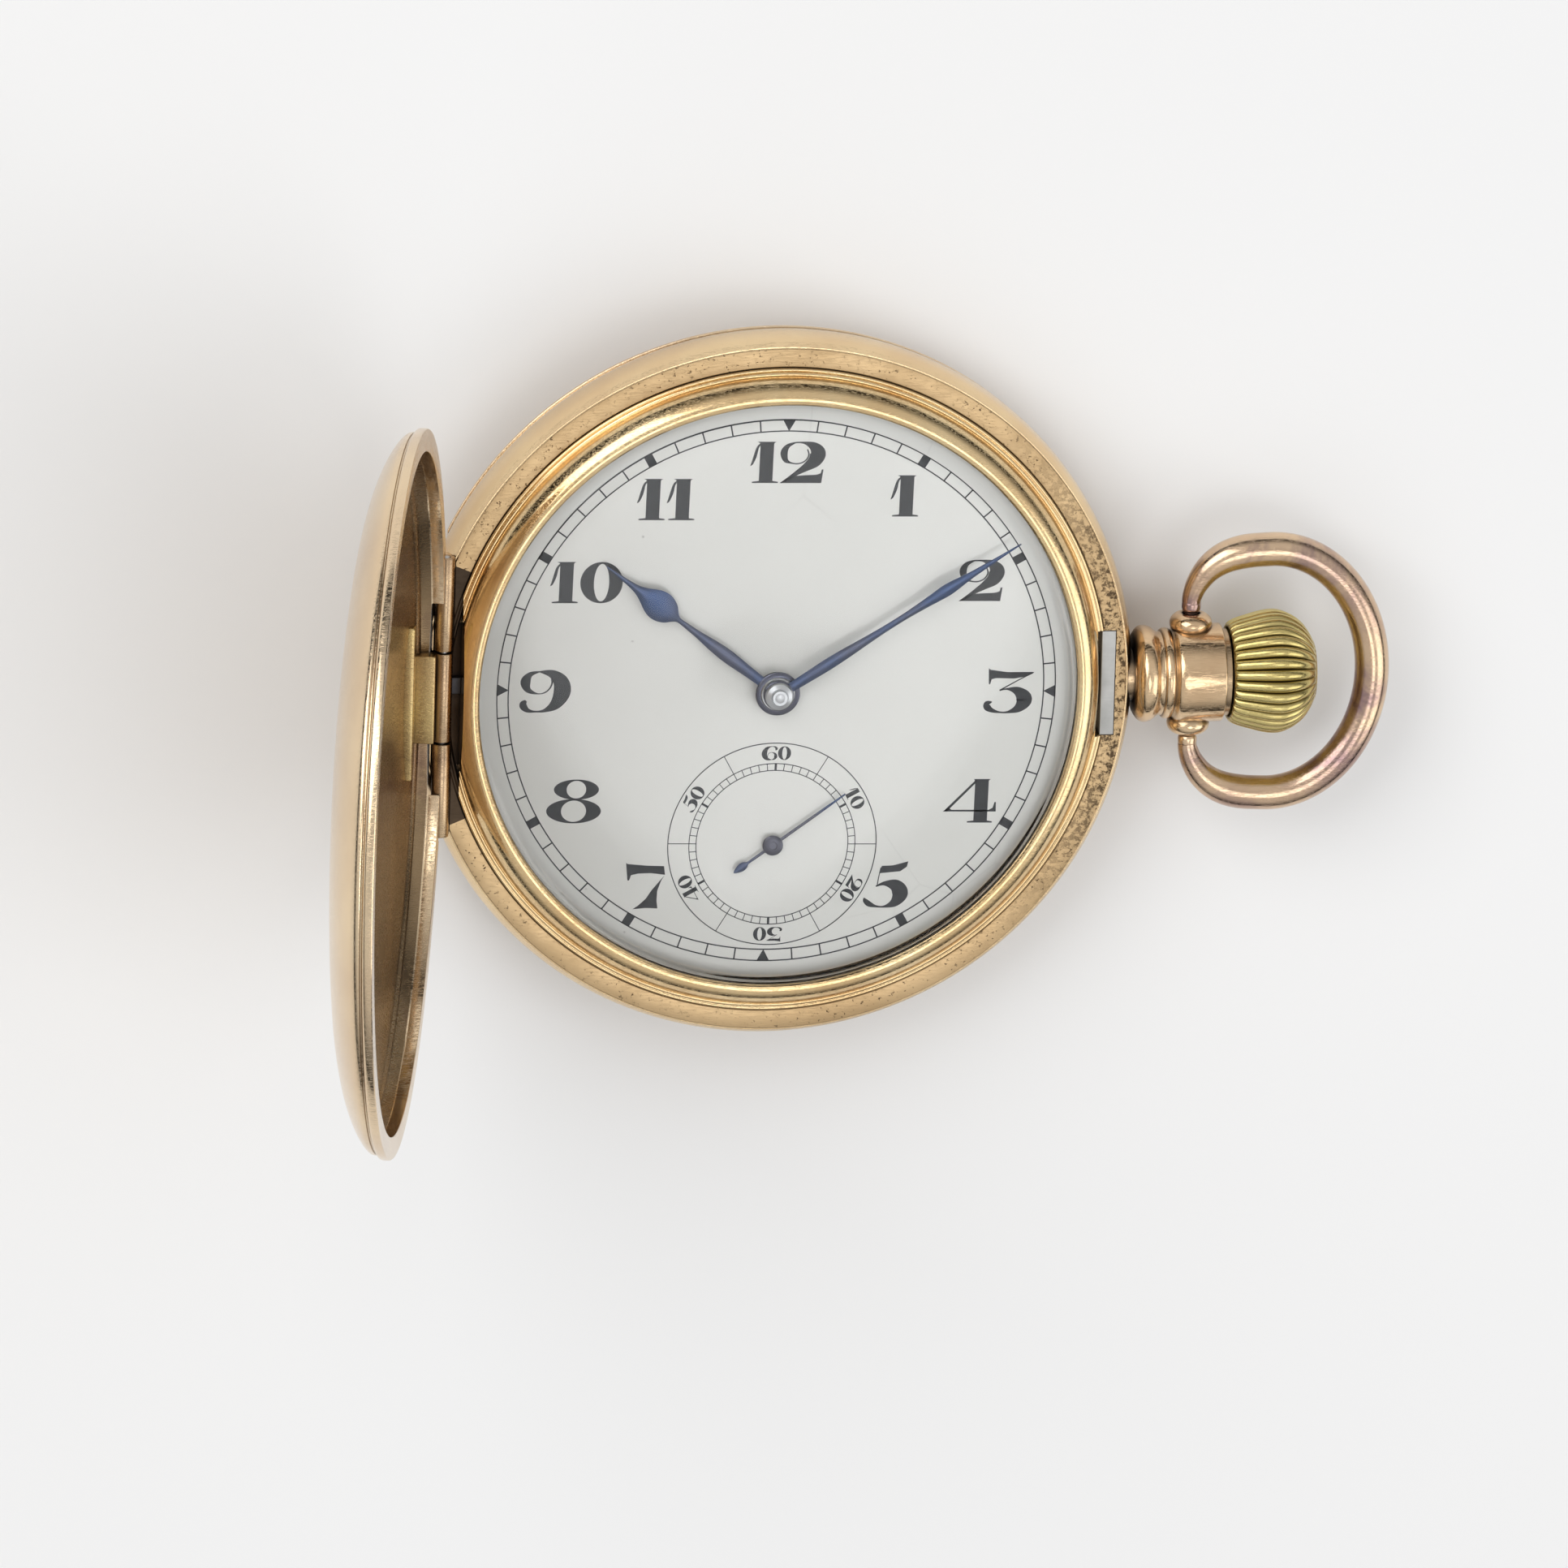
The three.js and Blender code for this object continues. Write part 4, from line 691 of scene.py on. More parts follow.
# The two bosses that the bow pivots in.
BOW_X = 29.6
BOSS_PROFILE = (
    [(0.0, 0.0), (1.35, 0.0)]
    + curve([(1.45, 0.2), (1.5, 0.5), (1.38, 0.85), (1.08, 1.12), (0.75, 1.2)], 5)
    + [(0.66, 1.18), (0.6, 1.0), (0.0, 1.0)])
BOSS_Y = 3.18


def bow_fitting(name, profile, y, segments):
    """Turns a profile about the bow's pivot line, pointing away from the pendant, from y."""
    turn = Matrix.Rotation(math.radians(math.copysign(90, -y)), 4, "X")
    place = Matrix.Translation(Vector((BOW_X, y, STEM_Z)) * MM) @ turn
    mesh = to_mesh(lathe_bm(profile, closed=False, segments=segments), name, place)
    sharpen(mesh, 40)
    return mesh


for side, label in ((1, "upper"), (-1, "lower")):
    pad = bow_fitting("bow_boss_" + label, BOSS_PROFILE, side * BOSS_Y, 64)
    new_object("bow_boss_" + label, pad, "case", [PENDANT_GOLD])


def swept(name, points, radii, segments=32):
    """A round bar of changing thickness along points that lie in one flat plane."""
    bm = bmesh.new()
    rows = []
    count = len(points)
    for i, point in enumerate(points):
        p = Vector(point)
        ahead = Vector(points[min(i + 1, count - 1)]) - Vector(points[max(i - 1, 0)])
        ahead.normalize()
        across = Vector((0, 0, 1)).cross(ahead)
        row = []
        for k in range(segments):
            a = 2 * math.pi * k / segments
            offset = across * math.cos(a) * radii[i] + Vector((0, 0, 1)) * math.sin(a) * radii[i]
            row.append(bm.verts.new((p + offset) * MM))
        rows.append(row)
    for a, b in zip(rows, rows[1:]):
        for k in range(segments):
            j = (k + 1) % segments
            bm.faces.new((a[k], a[j], b[j], b[k]))
    bm.faces.new(rows[0])
    bm.faces.new(list(reversed(rows[-1])))
    bmesh.ops.recalc_face_normals(bm, faces=bm.faces)
    return to_mesh(bm, name)


# Bow: slim at its pivots and swelling to its full thickness within a few millimetres.
BOW_CENTRE_X, BOW_RX, BOW_RY = 35.3, 7.25, 8.9
BOW_END = [(BOW_X, 5.15), (29.66, 5.6), (30.0, 6.5), (30.75, 7.55), (31.9, 8.35), (33.4, 8.78)]
BOW_STEPS = 72
BOW_END_R, BOW_SWELL, BOW_SWELL_LENGTH = 0.66, 0.54, 4.0
far_side = []
for i in range(BOW_STEPS + 1):
    angle = math.pi / 2 - math.pi * i / BOW_STEPS
    far_side.append((BOW_CENTRE_X + BOW_RX * math.cos(angle), BOW_RY * math.sin(angle)))
upper_end = curve(BOW_END + far_side[:1], 6)
bow_line = upper_end + far_side[1:-1] + [(x, -y) for x, y in reversed(upper_end)]
bow_points = [(x, y, STEM_Z) for x, y in bow_line]
bow_radii = []
for x, _ in bow_line:
    reach = min(1.0, max(0.0, (x - BOW_X) / BOW_SWELL_LENGTH))
    bow_radii.append(BOW_END_R + BOW_SWELL * math.sin(math.pi / 2 * reach) ** 0.7)
bow_bar = swept("bow_bar", bow_points, bow_radii)
sharpen(bow_bar, 50)
new_object("bow_bar", bow_bar, "bow", [BOW_GOLD], ["bow"])
COLLAR_PROFILE = (
    [(0, -2.0), (0.5, -2.0), (0.52, -0.75)]
    + curve([(0.6, -0.66), (0.66, -0.5), (0.67, -0.3), (0.64, -0.05), (0.5, 0.06), (0, 0.08)], 4))
COLLAR_Y = 5.2
for side, label in ((1, "upper"), (-1, "lower")):
    collar = bow_fitting("bow_collar_" + label, COLLAR_PROFILE, side * COLLAR_Y, 48)
    new_object("bow_collar_" + label, collar, "bow", [BOW_GOLD])

# Crown: an onion of rounded flutes.
FLUTES = 30
CROWN_LINE = curve([(32.3, 3.32), (32.42, 3.52), (32.85, 3.74), (33.7, 4.0), (34.7, 4.26), (35.6, 4.35),
                    (36.3, 4.2), (37.0, 3.85), (37.6, 3.33), (38.05, 2.7), (38.28, 2.2)], 4)
CROWN_AROUND = FLUTES * 12
FLUTE_DEPTH = 0.085
CROWN_BORE_R, CROWN_BORE_END = 0.66, 36.8


def crown_mesh():
    """An onion crown, fluted outside and bored from the pendant's side."""
    bm = bmesh.new()
    rows = []

    def ring(x, r, depth):
        row = []
        for k in range(CROWN_AROUND):
            a = 2 * math.pi * k / CROWN_AROUND
            wave = abs(math.sin(FLUTES * a / 2)) ** 0.55
            rr = r * (1 - depth * (1 - wave))
            row.append(bm.verts.new((x * MM, rr * math.cos(a) * MM, (STEM_Z + rr * math.sin(a)) * MM)))
        rows.append(row)

    for x, r in [(34.0, CROWN_BORE_R), (34.0, 2.56), (32.95, 2.56), (32.95, 3.16), (32.32, 3.16)]:
        ring(x, r, 0)
    for x, r in CROWN_LINE:
        fade = min(1.0, max(0.0, (x - 32.2) / 0.35)) * min(1.0, max(0.0, (38.35 - x) / 0.5))
        ring(x, r, FLUTE_DEPTH * fade ** 0.7)
    for x, r in [(38.33, 2.15), (38.3, 1.9), (38.34, 1.2), (38.36, 0.6)]:
        ring(x, r, 0)
    inner_row = len(rows)
    ring(CROWN_BORE_END, CROWN_BORE_R, 0)
    order = [inner_row] + list(range(inner_row))
    for a, b in zip(order, order[1:]):
        for k in range(CROWN_AROUND):
            j = (k + 1) % CROWN_AROUND
            bm.faces.new((rows[a][k], rows[a][j], rows[b][j], rows[b][k]))
    bm.faces.new(rows[inner_row])
    bm.faces.new(rows[inner_row - 1])
    bmesh.ops.recalc_face_normals(bm, faces=bm.faces)
    return to_mesh(bm, "crown_onion")


crown = crown_mesh()
sharpen(crown, 50)
new_object("crown_onion", crown, "crown", [CROWN_GOLD], ["crown"])

# Dial.
DIAL_PROFILE = fillet([(1.33, 7.97), (21.25, 7.97), (21.25, 8.4), (1.33, 8.4)], 0.06, 3)
plate = to_mesh(lathe_bm(DIAL_PROFILE), "dial_disc")
seconds_hole = rod("c", 0, 0, 0.42, -2, 2, 32, 0.01)
seconds_hole.transform(Matrix.Translation(Vector((0, SECONDS_Y, DIAL_Z)) * MM)
                       @ Matrix.Rotation(math.radians(90), 4, "X"))
plate = boolean(plate, seconds_hole)
sharpen(plate, 30)
new_object("dial_disc", plate, "case", [ENAMEL], ["dial"])

INK_LOW, INK_HIGH = DIAL_Z + 0.001, DIAL_Z + 0.012


class Print:
    """Collects flat printed shapes on the dial, as thin layers of fired paint."""

    def __init__(self):
        self.bm = bmesh.new()

    def polygon(self, points):
        low = [self.bm.verts.new((x * MM, y * MM, INK_LOW * MM)) for x, y in points]
        high = [self.bm.verts.new((x * MM, y * MM, INK_HIGH * MM)) for x, y in points]
        self.bm.faces.new(high)
        self.bm.faces.new(list(reversed(low)))
        for k in range(len(points)):
            j = (k + 1) % len(points)
            self.bm.faces.new((low[k], low[j], high[j], high[k]))

    def strip(self, left, right):
        for k in range(len(left) - 1):
            self.polygon([left[k], right[k], right[k + 1], left[k + 1]])

    def circle(self, cx, cy, r, width, segments=180):
        pts = [(cx + r * math.cos(2 * math.pi * k / segments), cy + r * math.sin(2 * math.pi * k / segments))
               for k in range(segments + 1)]
        inner_pts = [(cx + (x - cx) * (1 - width / r), cy + (y - cy) * (1 - width / r)) for x, y in pts]
        self.strip(pts, inner_pts)

    def radial(self, cx, cy, clock, r0, r1, width, width_in=None):
        """A mark along a radius; clock is the angle clockwise from 12 o'clock, in turns."""
        a = math.pi / 2 - clock * 2 * math.pi + DIAL_TWIST
        d, s = Vector((math.cos(a), math.sin(a))), Vector((-math.sin(a), math.cos(a)))
        centre = Vector((cx, cy))
        w_in = width if width_in is None else width_in
        pts = [centre + d * r0 + s * w_in / 2, centre + d * r1 + s * width / 2,
               centre + d * r1 - s * width / 2, centre + d * r0 - s * w_in / 2]
        self.polygon([tuple(p) for p in pts])


def arc(cx, cy, rx, ry, start, end, steps=14):
    """Points on an ellipse; angles in degrees, anticlockwise from +X."""
    out = []
    for k in range(steps + 1):
        a = math.radians(start + (end - start) * k / steps)
        out.append((cx + rx * math.cos(a), cy + ry * math.sin(a)))
    return out


# Each figure is drawn in a box one unit high. A path is a pen stroke of (x, y, width) points, a ring is
# the space between two ellipses, and a slab is a filled outline.
FIGURE_GAP = 0.04
STEM_OF_ONE = [(0.05, 0.0), (0.66, 0.0), (0.66, 0.03), (0.53, 0.05), (0.53, 0.96), (0.58, 1.0), (0.14, 1.0),
               (0.21, 0.96), (0.21, 0.05), (0.05, 0.03)]
BOWL_OF_NINE = [(0.45, 0.985, 0.03), (0.75, 0.93, 0.2), (0.96, 0.74, 0.36), (1.0, 0.48, 0.4),
                (0.86, 0.2, 0.27), (0.62, 0.045, 0.09), (0.4, 0.015, 0.04), (0.22, 0.04, 0.1),
                (0.12, 0.12, 0.17), (0.1, 0.2, 0.17), (0.16, 0.28, 0.06)]
CURL_OF_NINE = [(0.45, 0.985, 0.03), (0.24, 0.92, 0.12), (0.13, 0.74, 0.24), (0.2, 0.54, 0.14),
                (0.42, 0.45, 0.03), (0.6, 0.48, 0.03), (0.72, 0.6, 0.035), (0.76, 0.74, 0.045),
                (0.74, 0.8, 0.05)]
FIGURES = {
    "0": (1.0, 1.0, [("ring", (0.5, 0.5), (0.5, 0.5), (0.18, 0.455))]),
    "1": (0.66, 1.0, [
        ("slab", STEM_OF_ONE),
        ("path", [
            (0.24, 0.97, 0.03), (0.15, 0.86, 0.055), (0.1, 0.66, 0.075), (0.04, 0.48, 0.05),
            (0.0, 0.42, 0.02)
        ]),
    ]),
    "2": (1.05, 1.0, [
        ("path", [
            (0.34, 0.985, 0.03), (0.16, 0.9, 0.1), (0.075, 0.74, 0.17), (0.12, 0.56, 0.12),
            (0.24, 0.49, 0.04), (0.42, 0.47, 0.03), (0.58, 0.54, 0.03), (0.66, 0.68, 0.035),
            (0.62, 0.82, 0.03)
        ]),
        ("path", [
            (0.34, 0.985, 0.03), (0.55, 0.975, 0.06), (0.76, 0.89, 0.22), (0.87, 0.73, 0.37),
            (0.8, 0.54, 0.32), (0.6, 0.38, 0.19), (0.36, 0.22, 0.1), (0.14, 0.07, 0.05), (0.03, 0.0, 0.03)
        ]),
        ("slab", [
            (0.0, 0.0), (0.98, 0.0), (1.02, 0.33), (0.98, 0.33), (0.96, 0.24), (0.86, 0.2), (0.6, 0.19),
            (0.32, 0.17), (0.16, 0.11)
        ]),
    ]),
    "3": (1.17, 1.08, [
        ("slab", [
            (0.09, 1.09), (0.14, 1.05), (0.53, 0.995), (1.17, 1.0), (1.12, 0.955), (0.98, 0.89),
            (0.7, 0.84), (0.28, 0.85), (0.17, 0.82), (0.14, 0.7), (0.11, 0.7)
        ]),
        ("path", [(1.15, 0.985, 0.02), (0.8, 0.8, 0.025), (0.37, 0.55, 0.03)]),
        ("path", [
            (0.37, 0.55, 0.03), (0.56, 0.585, 0.05), (0.8, 0.53, 0.22), (0.96, 0.34, 0.38),
            (0.84, 0.13, 0.22), (0.62, 0.03, 0.07), (0.42, 0.015, 0.04), (0.22, 0.06, 0.1),
            (0.1, 0.14, 0.17), (0.09, 0.23, 0.13), (0.2, 0.27, 0.03)
        ]),
    ]),
    "4": (1.25, 1.06, [
        ("slab", [
            (0.58, 0.0), (1.17, 0.0), (1.17, 0.03), (1.05, 0.05), (1.05, 1.02), (1.09, 1.06), (0.7, 1.06),
            (0.73, 1.0), (0.73, 0.05), (0.58, 0.03)
        ]),
        ("slab", [
            (0.0, 0.27), (1.25, 0.27), (1.24, 0.5), (1.21, 0.5), (1.17, 0.36), (1.08, 0.31), (0.2, 0.31),
            (0.14, 0.36), (0.1, 0.34)
        ]),
        ("path", [(0.76, 1.02, 0.05), (0.42, 0.66, 0.055), (0.06, 0.28, 0.06)]),
    ]),
    "5": (1.05, 1.12, [
        ("slab", [(0.38, 0.84), (0.42, 1.02), (0.68, 1.03), (1.04, 1.13), (1.01, 1.0), (0.86, 0.89)]),
        ("path", [(0.4, 0.98, 0.022), (0.36, 0.76, 0.022), (0.33, 0.53, 0.022)]),
        ("path", [
            (0.3, 0.52, 0.03), (0.5, 0.59, 0.1), (0.76, 0.54, 0.3), (0.88, 0.35, 0.38), (0.76, 0.13, 0.22),
            (0.54, 0.03, 0.06), (0.34, 0.03, 0.05), (0.16, 0.09, 0.13), (0.06, 0.18, 0.1),
            (0.04, 0.24, 0.02)
        ]),
    ]),
    "6": (1.21, 1.0, [
        ("path", [(1.21 - x, 1 - y, w) for x, y, w in BOWL_OF_NINE]),
        ("path", [(1.21 - x, 1 - y, w) for x, y, w in CURL_OF_NINE]),
    ]),
    "7": (0.95, 1.12, [
        ("slab", [
            (0.0, 1.13), (0.04, 1.1), (0.5, 1.06), (0.9, 1.05), (0.93, 0.84), (0.6, 0.88), (0.3, 0.87),
            (0.13, 0.83), (0.09, 0.7), (0.05, 0.7)
        ]),
        ("slab", [
            (0.93, 0.85), (0.84, 0.68), (0.765, 0.45), (0.76, 0.2), (0.79, 0.02), (0.5, 0.03), (0.2, 0.0),
            (0.32, 0.08), (0.5, 0.25), (0.63, 0.46), (0.9, 0.8)
        ]),
    ]),
    "8": (1.29, 1.07, [
        ("ring", (0.69, 0.82), (0.53, 0.245), (0.23, 0.215)),
        ("ring", (0.645, 0.295), (0.645, 0.295), (0.295, 0.26)),
    ]),
    "9": (1.21, 1.0, [("path", BOWL_OF_NINE), ("path", CURL_OF_NINE)]),
}


def draw_figure(ink, text, centre, height, angle=0.0, squeeze=1.0):
    """Prints a number centred on a point of the dial, turned by angle."""
    total = sum(FIGURES[c][0] for c in text) + FIGURE_GAP * (len(text) - 1)
    tall = max(FIGURES[c][1] for c in text)
    origin = Vector(centre)
    c, s = math.cos(angle), math.sin(angle)

    def place(x, y, cursor):
        u, v = (x + cursor - total / 2) * height * squeeze, (y - tall / 2) * height
        return (origin.x + u * c - v * s, origin.y + u * s + v * c)

    cursor = 0.0
    for character in text:
        width, _, strokes = FIGURES[character]
        for kind, *data in strokes:
            if kind == "path":
                line = curve([(x, y) for x, y, _ in data[0]], 5)
                widths = [w for _, w in curve([(k, w) for k, (_, _, w) in enumerate(data[0])], 5)]
                left, right = [], []
                for k, point in enumerate(line):
                    a = Vector(line[max(k - 1, 0)])
                    b = Vector(line[min(k + 1, len(line) - 1)])
                    d = (b - a).normalized()
                    side = Vector((-d.y, d.x)) * max(widths[k], 0.016) / 2
                    left.append(place(*(Vector(point) + side), cursor))
                    right.append(place(*(Vector(point) - side), cursor))
                ink.strip(left, right)
            elif kind == "ring":
                middle, outer, inner = data
                ink.strip([place(*p, cursor) for p in arc(*middle, *outer, 0, 360, 48)],
                          [place(*p, cursor) for p in arc(*middle, *inner, 0, 360, 48)])
            else:
                ink.polygon([place(*p, cursor) for p in data[0]])
        cursor += width + FIGURE_GAP


TRACK_IN, TRACK_OUT = 18.92, 19.75
ink = Print()
ink.circle(0, 0, TRACK_OUT + 0.04, 0.09)
ink.circle(0, 0, TRACK_IN + 0.04, 0.09)
for minute in range(60):
    if minute % 15 == 0:
        continue
    ink.radial(0, 0, minute / 60, TRACK_IN, TRACK_OUT, 0.62 if minute % 5 == 0 else 0.1)
for quarter in range(4):
    ink.radial(0, 0, quarter / 4, TRACK_IN + 0.02, TRACK_OUT, 0.9, 0.04)
FIGURE_HEIGHT = 3.0
FIGURE_PLACES = {12: (0.03, 16.62), 1: (8.41, 14.2), 2: (14.15, 8.05), 3: (16.45, 0.0), 4: (14.1, -8.04),
                 5: (8.42, -14.18), 7: (-8.58, -14.3), 8: (-13.9, -8.1), 9: (-16.3, -0.1), 10: (-13.75, 7.85),
                 11: (-8.42, 13.9)}
twist = Matrix.Rotation(DIAL_TWIST, 2)
for hour, spot in FIGURE_PLACES.items():
    draw_figure(ink, str(hour), twist @ Vector(spot), FIGURE_HEIGHT, DIAL_TWIST)

# Small seconds.
SUB = (0, SECONDS_Y)
ink.circle(*SUB, 7.4, 0.07, 120)
ink.circle(*SUB, 5.9, 0.06, 120)
ink.circle(*SUB, 5.4, 0.06, 120)
for second in range(60):
    ink.radial(*SUB, second / 60, 5.4, 5.9, 0.16 if second % 10 == 0 else 0.055)
for second in (5, 15, 25, 35, 45, 55):
    ink.radial(*SUB, second / 60, 5.9, 7.35, 0.055)
for second in (10, 20, 30, 40, 50, 60):
    a = math.pi / 2 - second / 60 * 2 * math.pi + DIAL_TWIST
    place = (SUB[0] + 6.63 * math.cos(a), SUB[1] + 6.63 * math.sin(a))
    draw_figure(ink, str(second), place, 1.0, a - math.pi / 2, 0.92)
bmesh.ops.recalc_face_normals(ink.bm, faces=ink.bm.faces)
printed = to_mesh(ink.bm, "dial_print")
new_object("dial_print", printed, "case", [INK])


# Hands: thin blued blades with softly rounded edges, and the hub they turn on.
def blade_mesh(name, outline, angle, z0, z1, centre=(0, 0), crown=0.06):
    """A flat blade whose face is slightly crowned along its middle line."""
    bm = bmesh.new()
    c, s = math.cos(angle), math.sin(angle)

    def place(x, y, z):
        return bm.verts.new(((centre[0] + x * c - y * s) * MM, (centre[1] + x * s + y * c) * MM, z * MM))

    rows = []
    for x, w in outline:
        half = w / 2
        lift = crown * min(1.0, half / 0.4)
        rows.append([place(x, -half, z0), place(x, -half, z1 - lift * 0.7), place(x, -half * 0.72, z1),
                     place(x, 0, z1 + lift * 0.5), place(x, half * 0.72, z1),
                     place(x, half, z1 - lift * 0.7), place(x, half, z0)])
    for a, b in zip(rows, rows[1:]):
        for k in range(len(a)):
            j = (k + 1) % len(a)
            bm.faces.new((a[k], b[k], b[j], a[j]))
    bm.faces.new(rows[0])
    bm.faces.new(list(reversed(rows[-1])))
    bmesh.ops.recalc_face_normals(bm, faces=bm.faces)
    return to_mesh(bm, name)


def hub_mesh(name, profile, centre=(0, 0)):
    return to_mesh(lathe_bm(profile, closed=False, segments=64), name,
                   Matrix.Translation(Vector((centre[0], centre[1], 0)) * MM))


def hand(name, outline, angle, z0, z1, body, node, hub_profile, hub_finish, centre=(0, 0)):
    blade = blade_mesh(name, outline, angle, z0, z1, centre)
    hub = hub_mesh(name + "_hub", hub_profile, centre)
    sharpen(blade, 40)
    sharpen(hub, 40)
    new_object(name, blade, body, [BLUE], [node])
    new_object(name.replace("_blade", "_hub"), hub, body, [hub_finish])


MINUTE_OUTLINE = curve([
    (0.6, 0.66), (2.4, 0.76), (4.0, 0.84), (5.6, 0.76), (7.2, 0.58), (8.8, 0.45), (10.4, 0.45), (12.0, 0.6),
    (13.0, 0.76), (13.8, 0.86), (14.5, 0.78), (15.3, 0.58), (16.2, 0.42), (17.4, 0.3), (18.6, 0.18),
    (19.95, 0.07)
], 4)
HOUR_OUTLINE = curve([
    (1.0, 0.66), (2.6, 0.76), (4.4, 0.94), (5.8, 0.82), (7.2, 0.52), (8.4, 0.38), (9.0, 0.37), (9.35, 0.8),
    (9.75, 1.55), (10.3, 2.03), (10.9, 2.12), (11.5, 1.76), (12.1, 1.12), (12.7, 0.64), (13.4, 0.4),
    (14.4, 0.25), (15.55, 0.08)
], 4)
SECONDS_OUTLINE = curve([
    (-3.34, 0.05), (-3.1, 0.34), (-2.7, 0.6), (-2.35, 0.48), (-2.15, 0.2), (-1.8, 0.18), (0.0, 0.22),
    (2.0, 0.2), (4.2, 0.18), (6.2, 0.1)
], 5)
hand("minute_hand_blade", MINUTE_OUTLINE, math.radians(32.4), 9.5, 9.6, "minute", "minute_hand",
     [(0.5, 9.42), (1.0, 9.42), (1.06, 9.5), (1.06, 9.64), (0.98, 9.7), (0.5, 9.7)], HUB_STEEL)
hand("hour_hand_blade", HOUR_OUTLINE, math.radians(142.3), 9.12, 9.22, "hour", "hour_hand",
     [(1.22, 9.05), (1.5, 9.05), (1.56, 9.12), (1.56, 9.24), (1.48, 9.3), (1.22, 9.3)], HUB_STEEL)
hand("seconds_hand_blade", SECONDS_OUTLINE, math.radians(35.9), 8.74, 8.8, "seconds", "seconds_hand",
     [(0.0, 8.68), (0.62, 8.68), (0.72, 8.74), (0.72, 8.84), (0.6, 8.92), (0.3, 8.92), (0.26, 8.88),
      (0.0, 8.88)], BLUE, SUB)
cap = hub_mesh("cannon_cap", [(0.0, 9.4), (0.5, 9.4), (0.5, 9.72), (0.96, 9.74), (0.98, 9.86), (0.9, 10.0),
                              (0.62, 10.12), (0.56, 10.1), (0.54, 10.14), (0.48, 10.3), (0.3, 10.37),
                              (0.0, 10.38)])
sharpen(cap, 35)
new_object("cannon_cap", cap, "minute", [STEEL])
collar = hub_mesh("hour_collar", [(0.62, 8.5), (1.2, 8.5), (1.2, 9.3), (1.14, 9.36), (0.62, 9.36)])
sharpen(collar, 35)
new_object("hour_collar", collar, "hour", [STEEL])

# The movement and other hidden nodes keep their CAD shapes with better finishes.
FINISHES = {"nickel_plate": PLATE, "wheel_brass": WHEEL_BRASS, "steel": STEEL, "blued_steel": BLUE}
slot_of = {part["node"]: part["material_slot"] for part in frame["record"]["subparts"]}
for node_name, obj in frame["nodes"].items():
    finish = FINISHES.get(slot_of.get(node_name))
    if finish is None:
        continue
    obj.data.materials.clear()
    obj.data.materials.append(finish)

# Floor, world and lamps.
FLOOR_SIZE, FLOOR_GAP = 4.0, 0.00005
floor_bm = bmesh.new()
bmesh.ops.create_grid(floor_bm, x_segments=2, y_segments=2, size=FLOOR_SIZE)
floor = bpy.data.objects.new("floor", to_mesh(floor_bm, "floor"))
scene.collection.objects.link(floor)
floor.location = (0, 0, -FLOOR_GAP)
floor_look = Nodes("pale_floor")
floor_look.set(Base_Color=(0.92, 0.92, 0.92), Roughness=0.9, Metallic=0.0)
floor.data.materials.append(floor_look.material)

world = bpy.data.worlds.new("studio")
scene.world = world
scene.view_settings.view_transform = "Standard"
world.use_nodes = True
world_tree = world.node_tree
coords = world_tree.nodes.new("ShaderNodeTexCoord")
split = world_tree.nodes.new("ShaderNodeSeparateXYZ")
world_tree.links.new(coords.outputs["Generated"], split.inputs[0])
SKY_STOPS = ((0.0, 0.02), (0.12, 0.05), (0.3, 0.42), (0.6, 1.0), (0.85, 1.0), (1.0, 0.82))


def sky_ramp(source, stops):
    """Grey levels along a direction of the sky."""
    node = world_tree.nodes.new("ShaderNodeValToRGB")
    while len(node.color_ramp.elements) < len(stops):
        node.color_ramp.elements.new(0.5)
    for element, (place, level) in zip(node.color_ramp.elements, stops):
        element.position = place
        element.color = (level, level, level, 1)
    world_tree.links.new(source, node.inputs["Fac"])
    return node.outputs["Color"]


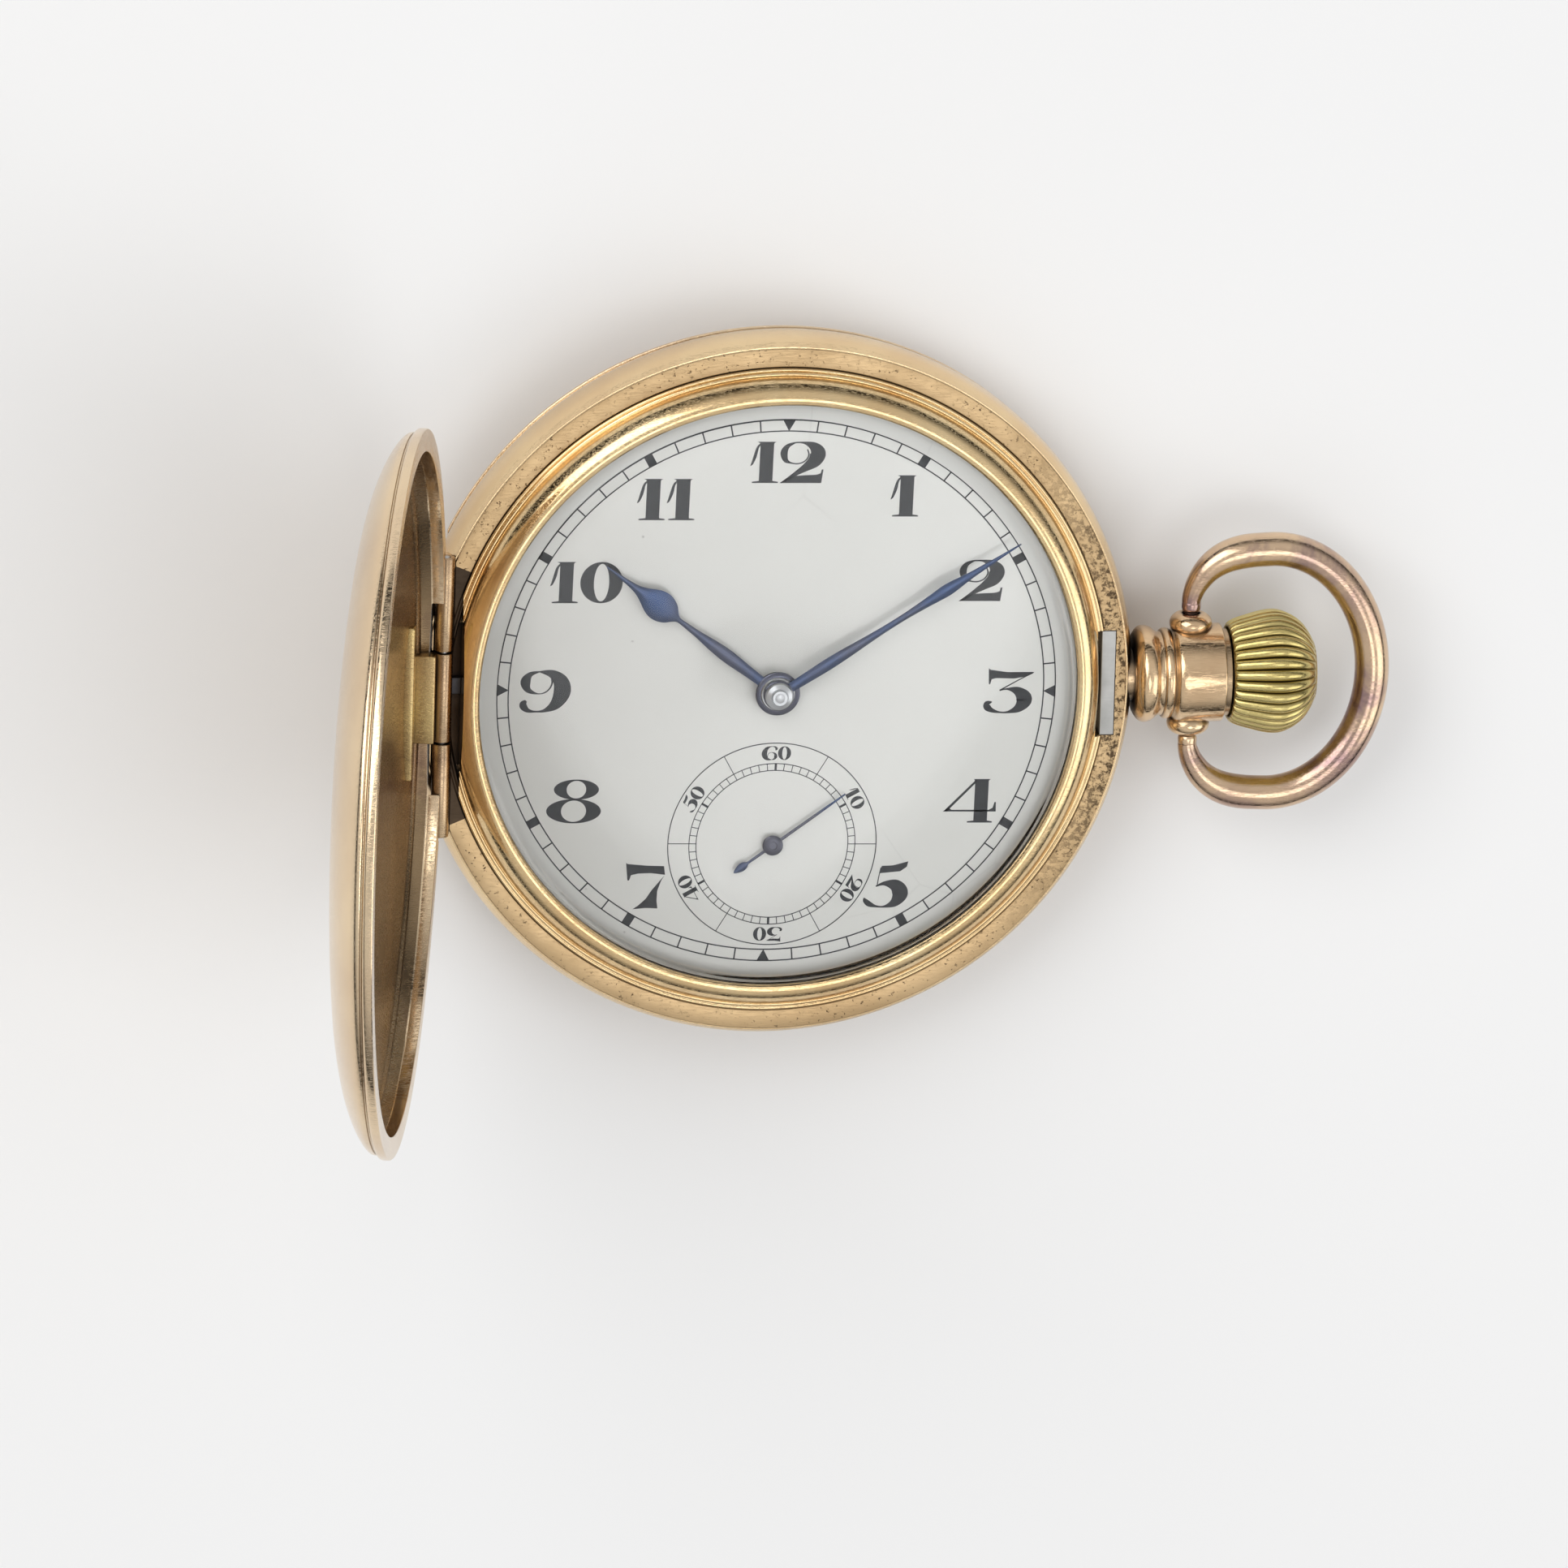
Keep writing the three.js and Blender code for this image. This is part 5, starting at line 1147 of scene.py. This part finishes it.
# A dark screen low on the left gives the polished gold its dark streaks.
flip = world_tree.nodes.new("ShaderNodeMath")
flip.operation = "MULTIPLY"
flip.inputs[1].default_value = -1.0
world_tree.links.new(split.outputs["X"], flip.inputs[0])
to_left = sky_ramp(flip.outputs[0], ((0.5, 0.0), (0.62, 1.0)))
low_down = sky_ramp(split.outputs["Z"], ((0.3, 1.0), (0.36, 0.0)))
screen = world_tree.nodes.new("ShaderNodeMath")
screen.operation = "MULTIPLY"
world_tree.links.new(to_left, screen.inputs[0])
world_tree.links.new(low_down, screen.inputs[1])
darken = world_tree.nodes.new("ShaderNodeMix")
darken.data_type = "RGBA"
world_tree.links.new(screen.outputs[0], darken.inputs[0])
world_tree.links.new(sky_ramp(split.outputs["Z"], SKY_STOPS), darken.inputs[6])
darken.inputs[7].default_value = (0.03, 0.03, 0.03, 1)
background = world_tree.nodes["Background"]
world_tree.links.new(darken.outputs[2], background.inputs["Color"])
background.inputs["Strength"].default_value = 0.7


def lamp(name, place, power, size, target=(0, 0, 0.01)):
    data = bpy.data.lights.new(name, "AREA")
    data.energy = power
    data.size = size
    obj = bpy.data.objects.new(name, data)
    scene.collection.objects.link(obj)
    obj.location = place
    obj.rotation_euler = (Vector(target) - Vector(place)).to_track_quat("-Z", "Y").to_euler()


lamp("key", (-0.35, 0.35, 0.5), 1.8, 0.5)
lamp("fill", (0.5, -0.15, 0.35), 0.7, 0.4)
lamp("top", (0.1, -0.1, 0.7), 0.5, 0.3)

# Camera.
CAMERA_DISTANCE = 3.0
CAMERA_AZIMUTH = math.radians(117.60)
CAMERA_TILT = math.radians(19.36)
CAMERA_ROLL = math.radians(1.58)
CAMERA_TARGET = Vector((0.75, -6.86, 8.4)) * MM
CAMERA_LENS = 986.5
camera_data = bpy.data.cameras.new("camera")
camera_data.lens = CAMERA_LENS
camera_data.sensor_width = 36.0
camera_data.clip_start = 0.05
camera_data.clip_end = 20.0
camera = bpy.data.objects.new("camera", camera_data)
scene.collection.objects.link(camera)
towards = Vector((math.sin(CAMERA_TILT) * math.cos(CAMERA_AZIMUTH),
                  math.sin(CAMERA_TILT) * math.sin(CAMERA_AZIMUTH), math.cos(CAMERA_TILT)))
forward = -towards
right = forward.cross(Vector((0, 1, 0))).normalized()
up = right.cross(forward)
right_rolled = right * math.cos(CAMERA_ROLL) + up * math.sin(CAMERA_ROLL)
up_rolled = up * math.cos(CAMERA_ROLL) - right * math.sin(CAMERA_ROLL)
axes = Matrix((right_rolled, up_rolled, towards)).transposed()
camera.matrix_world = Matrix.Translation(CAMERA_TARGET + towards * CAMERA_DISTANCE) @ axes.to_4x4()
scene.camera = camera
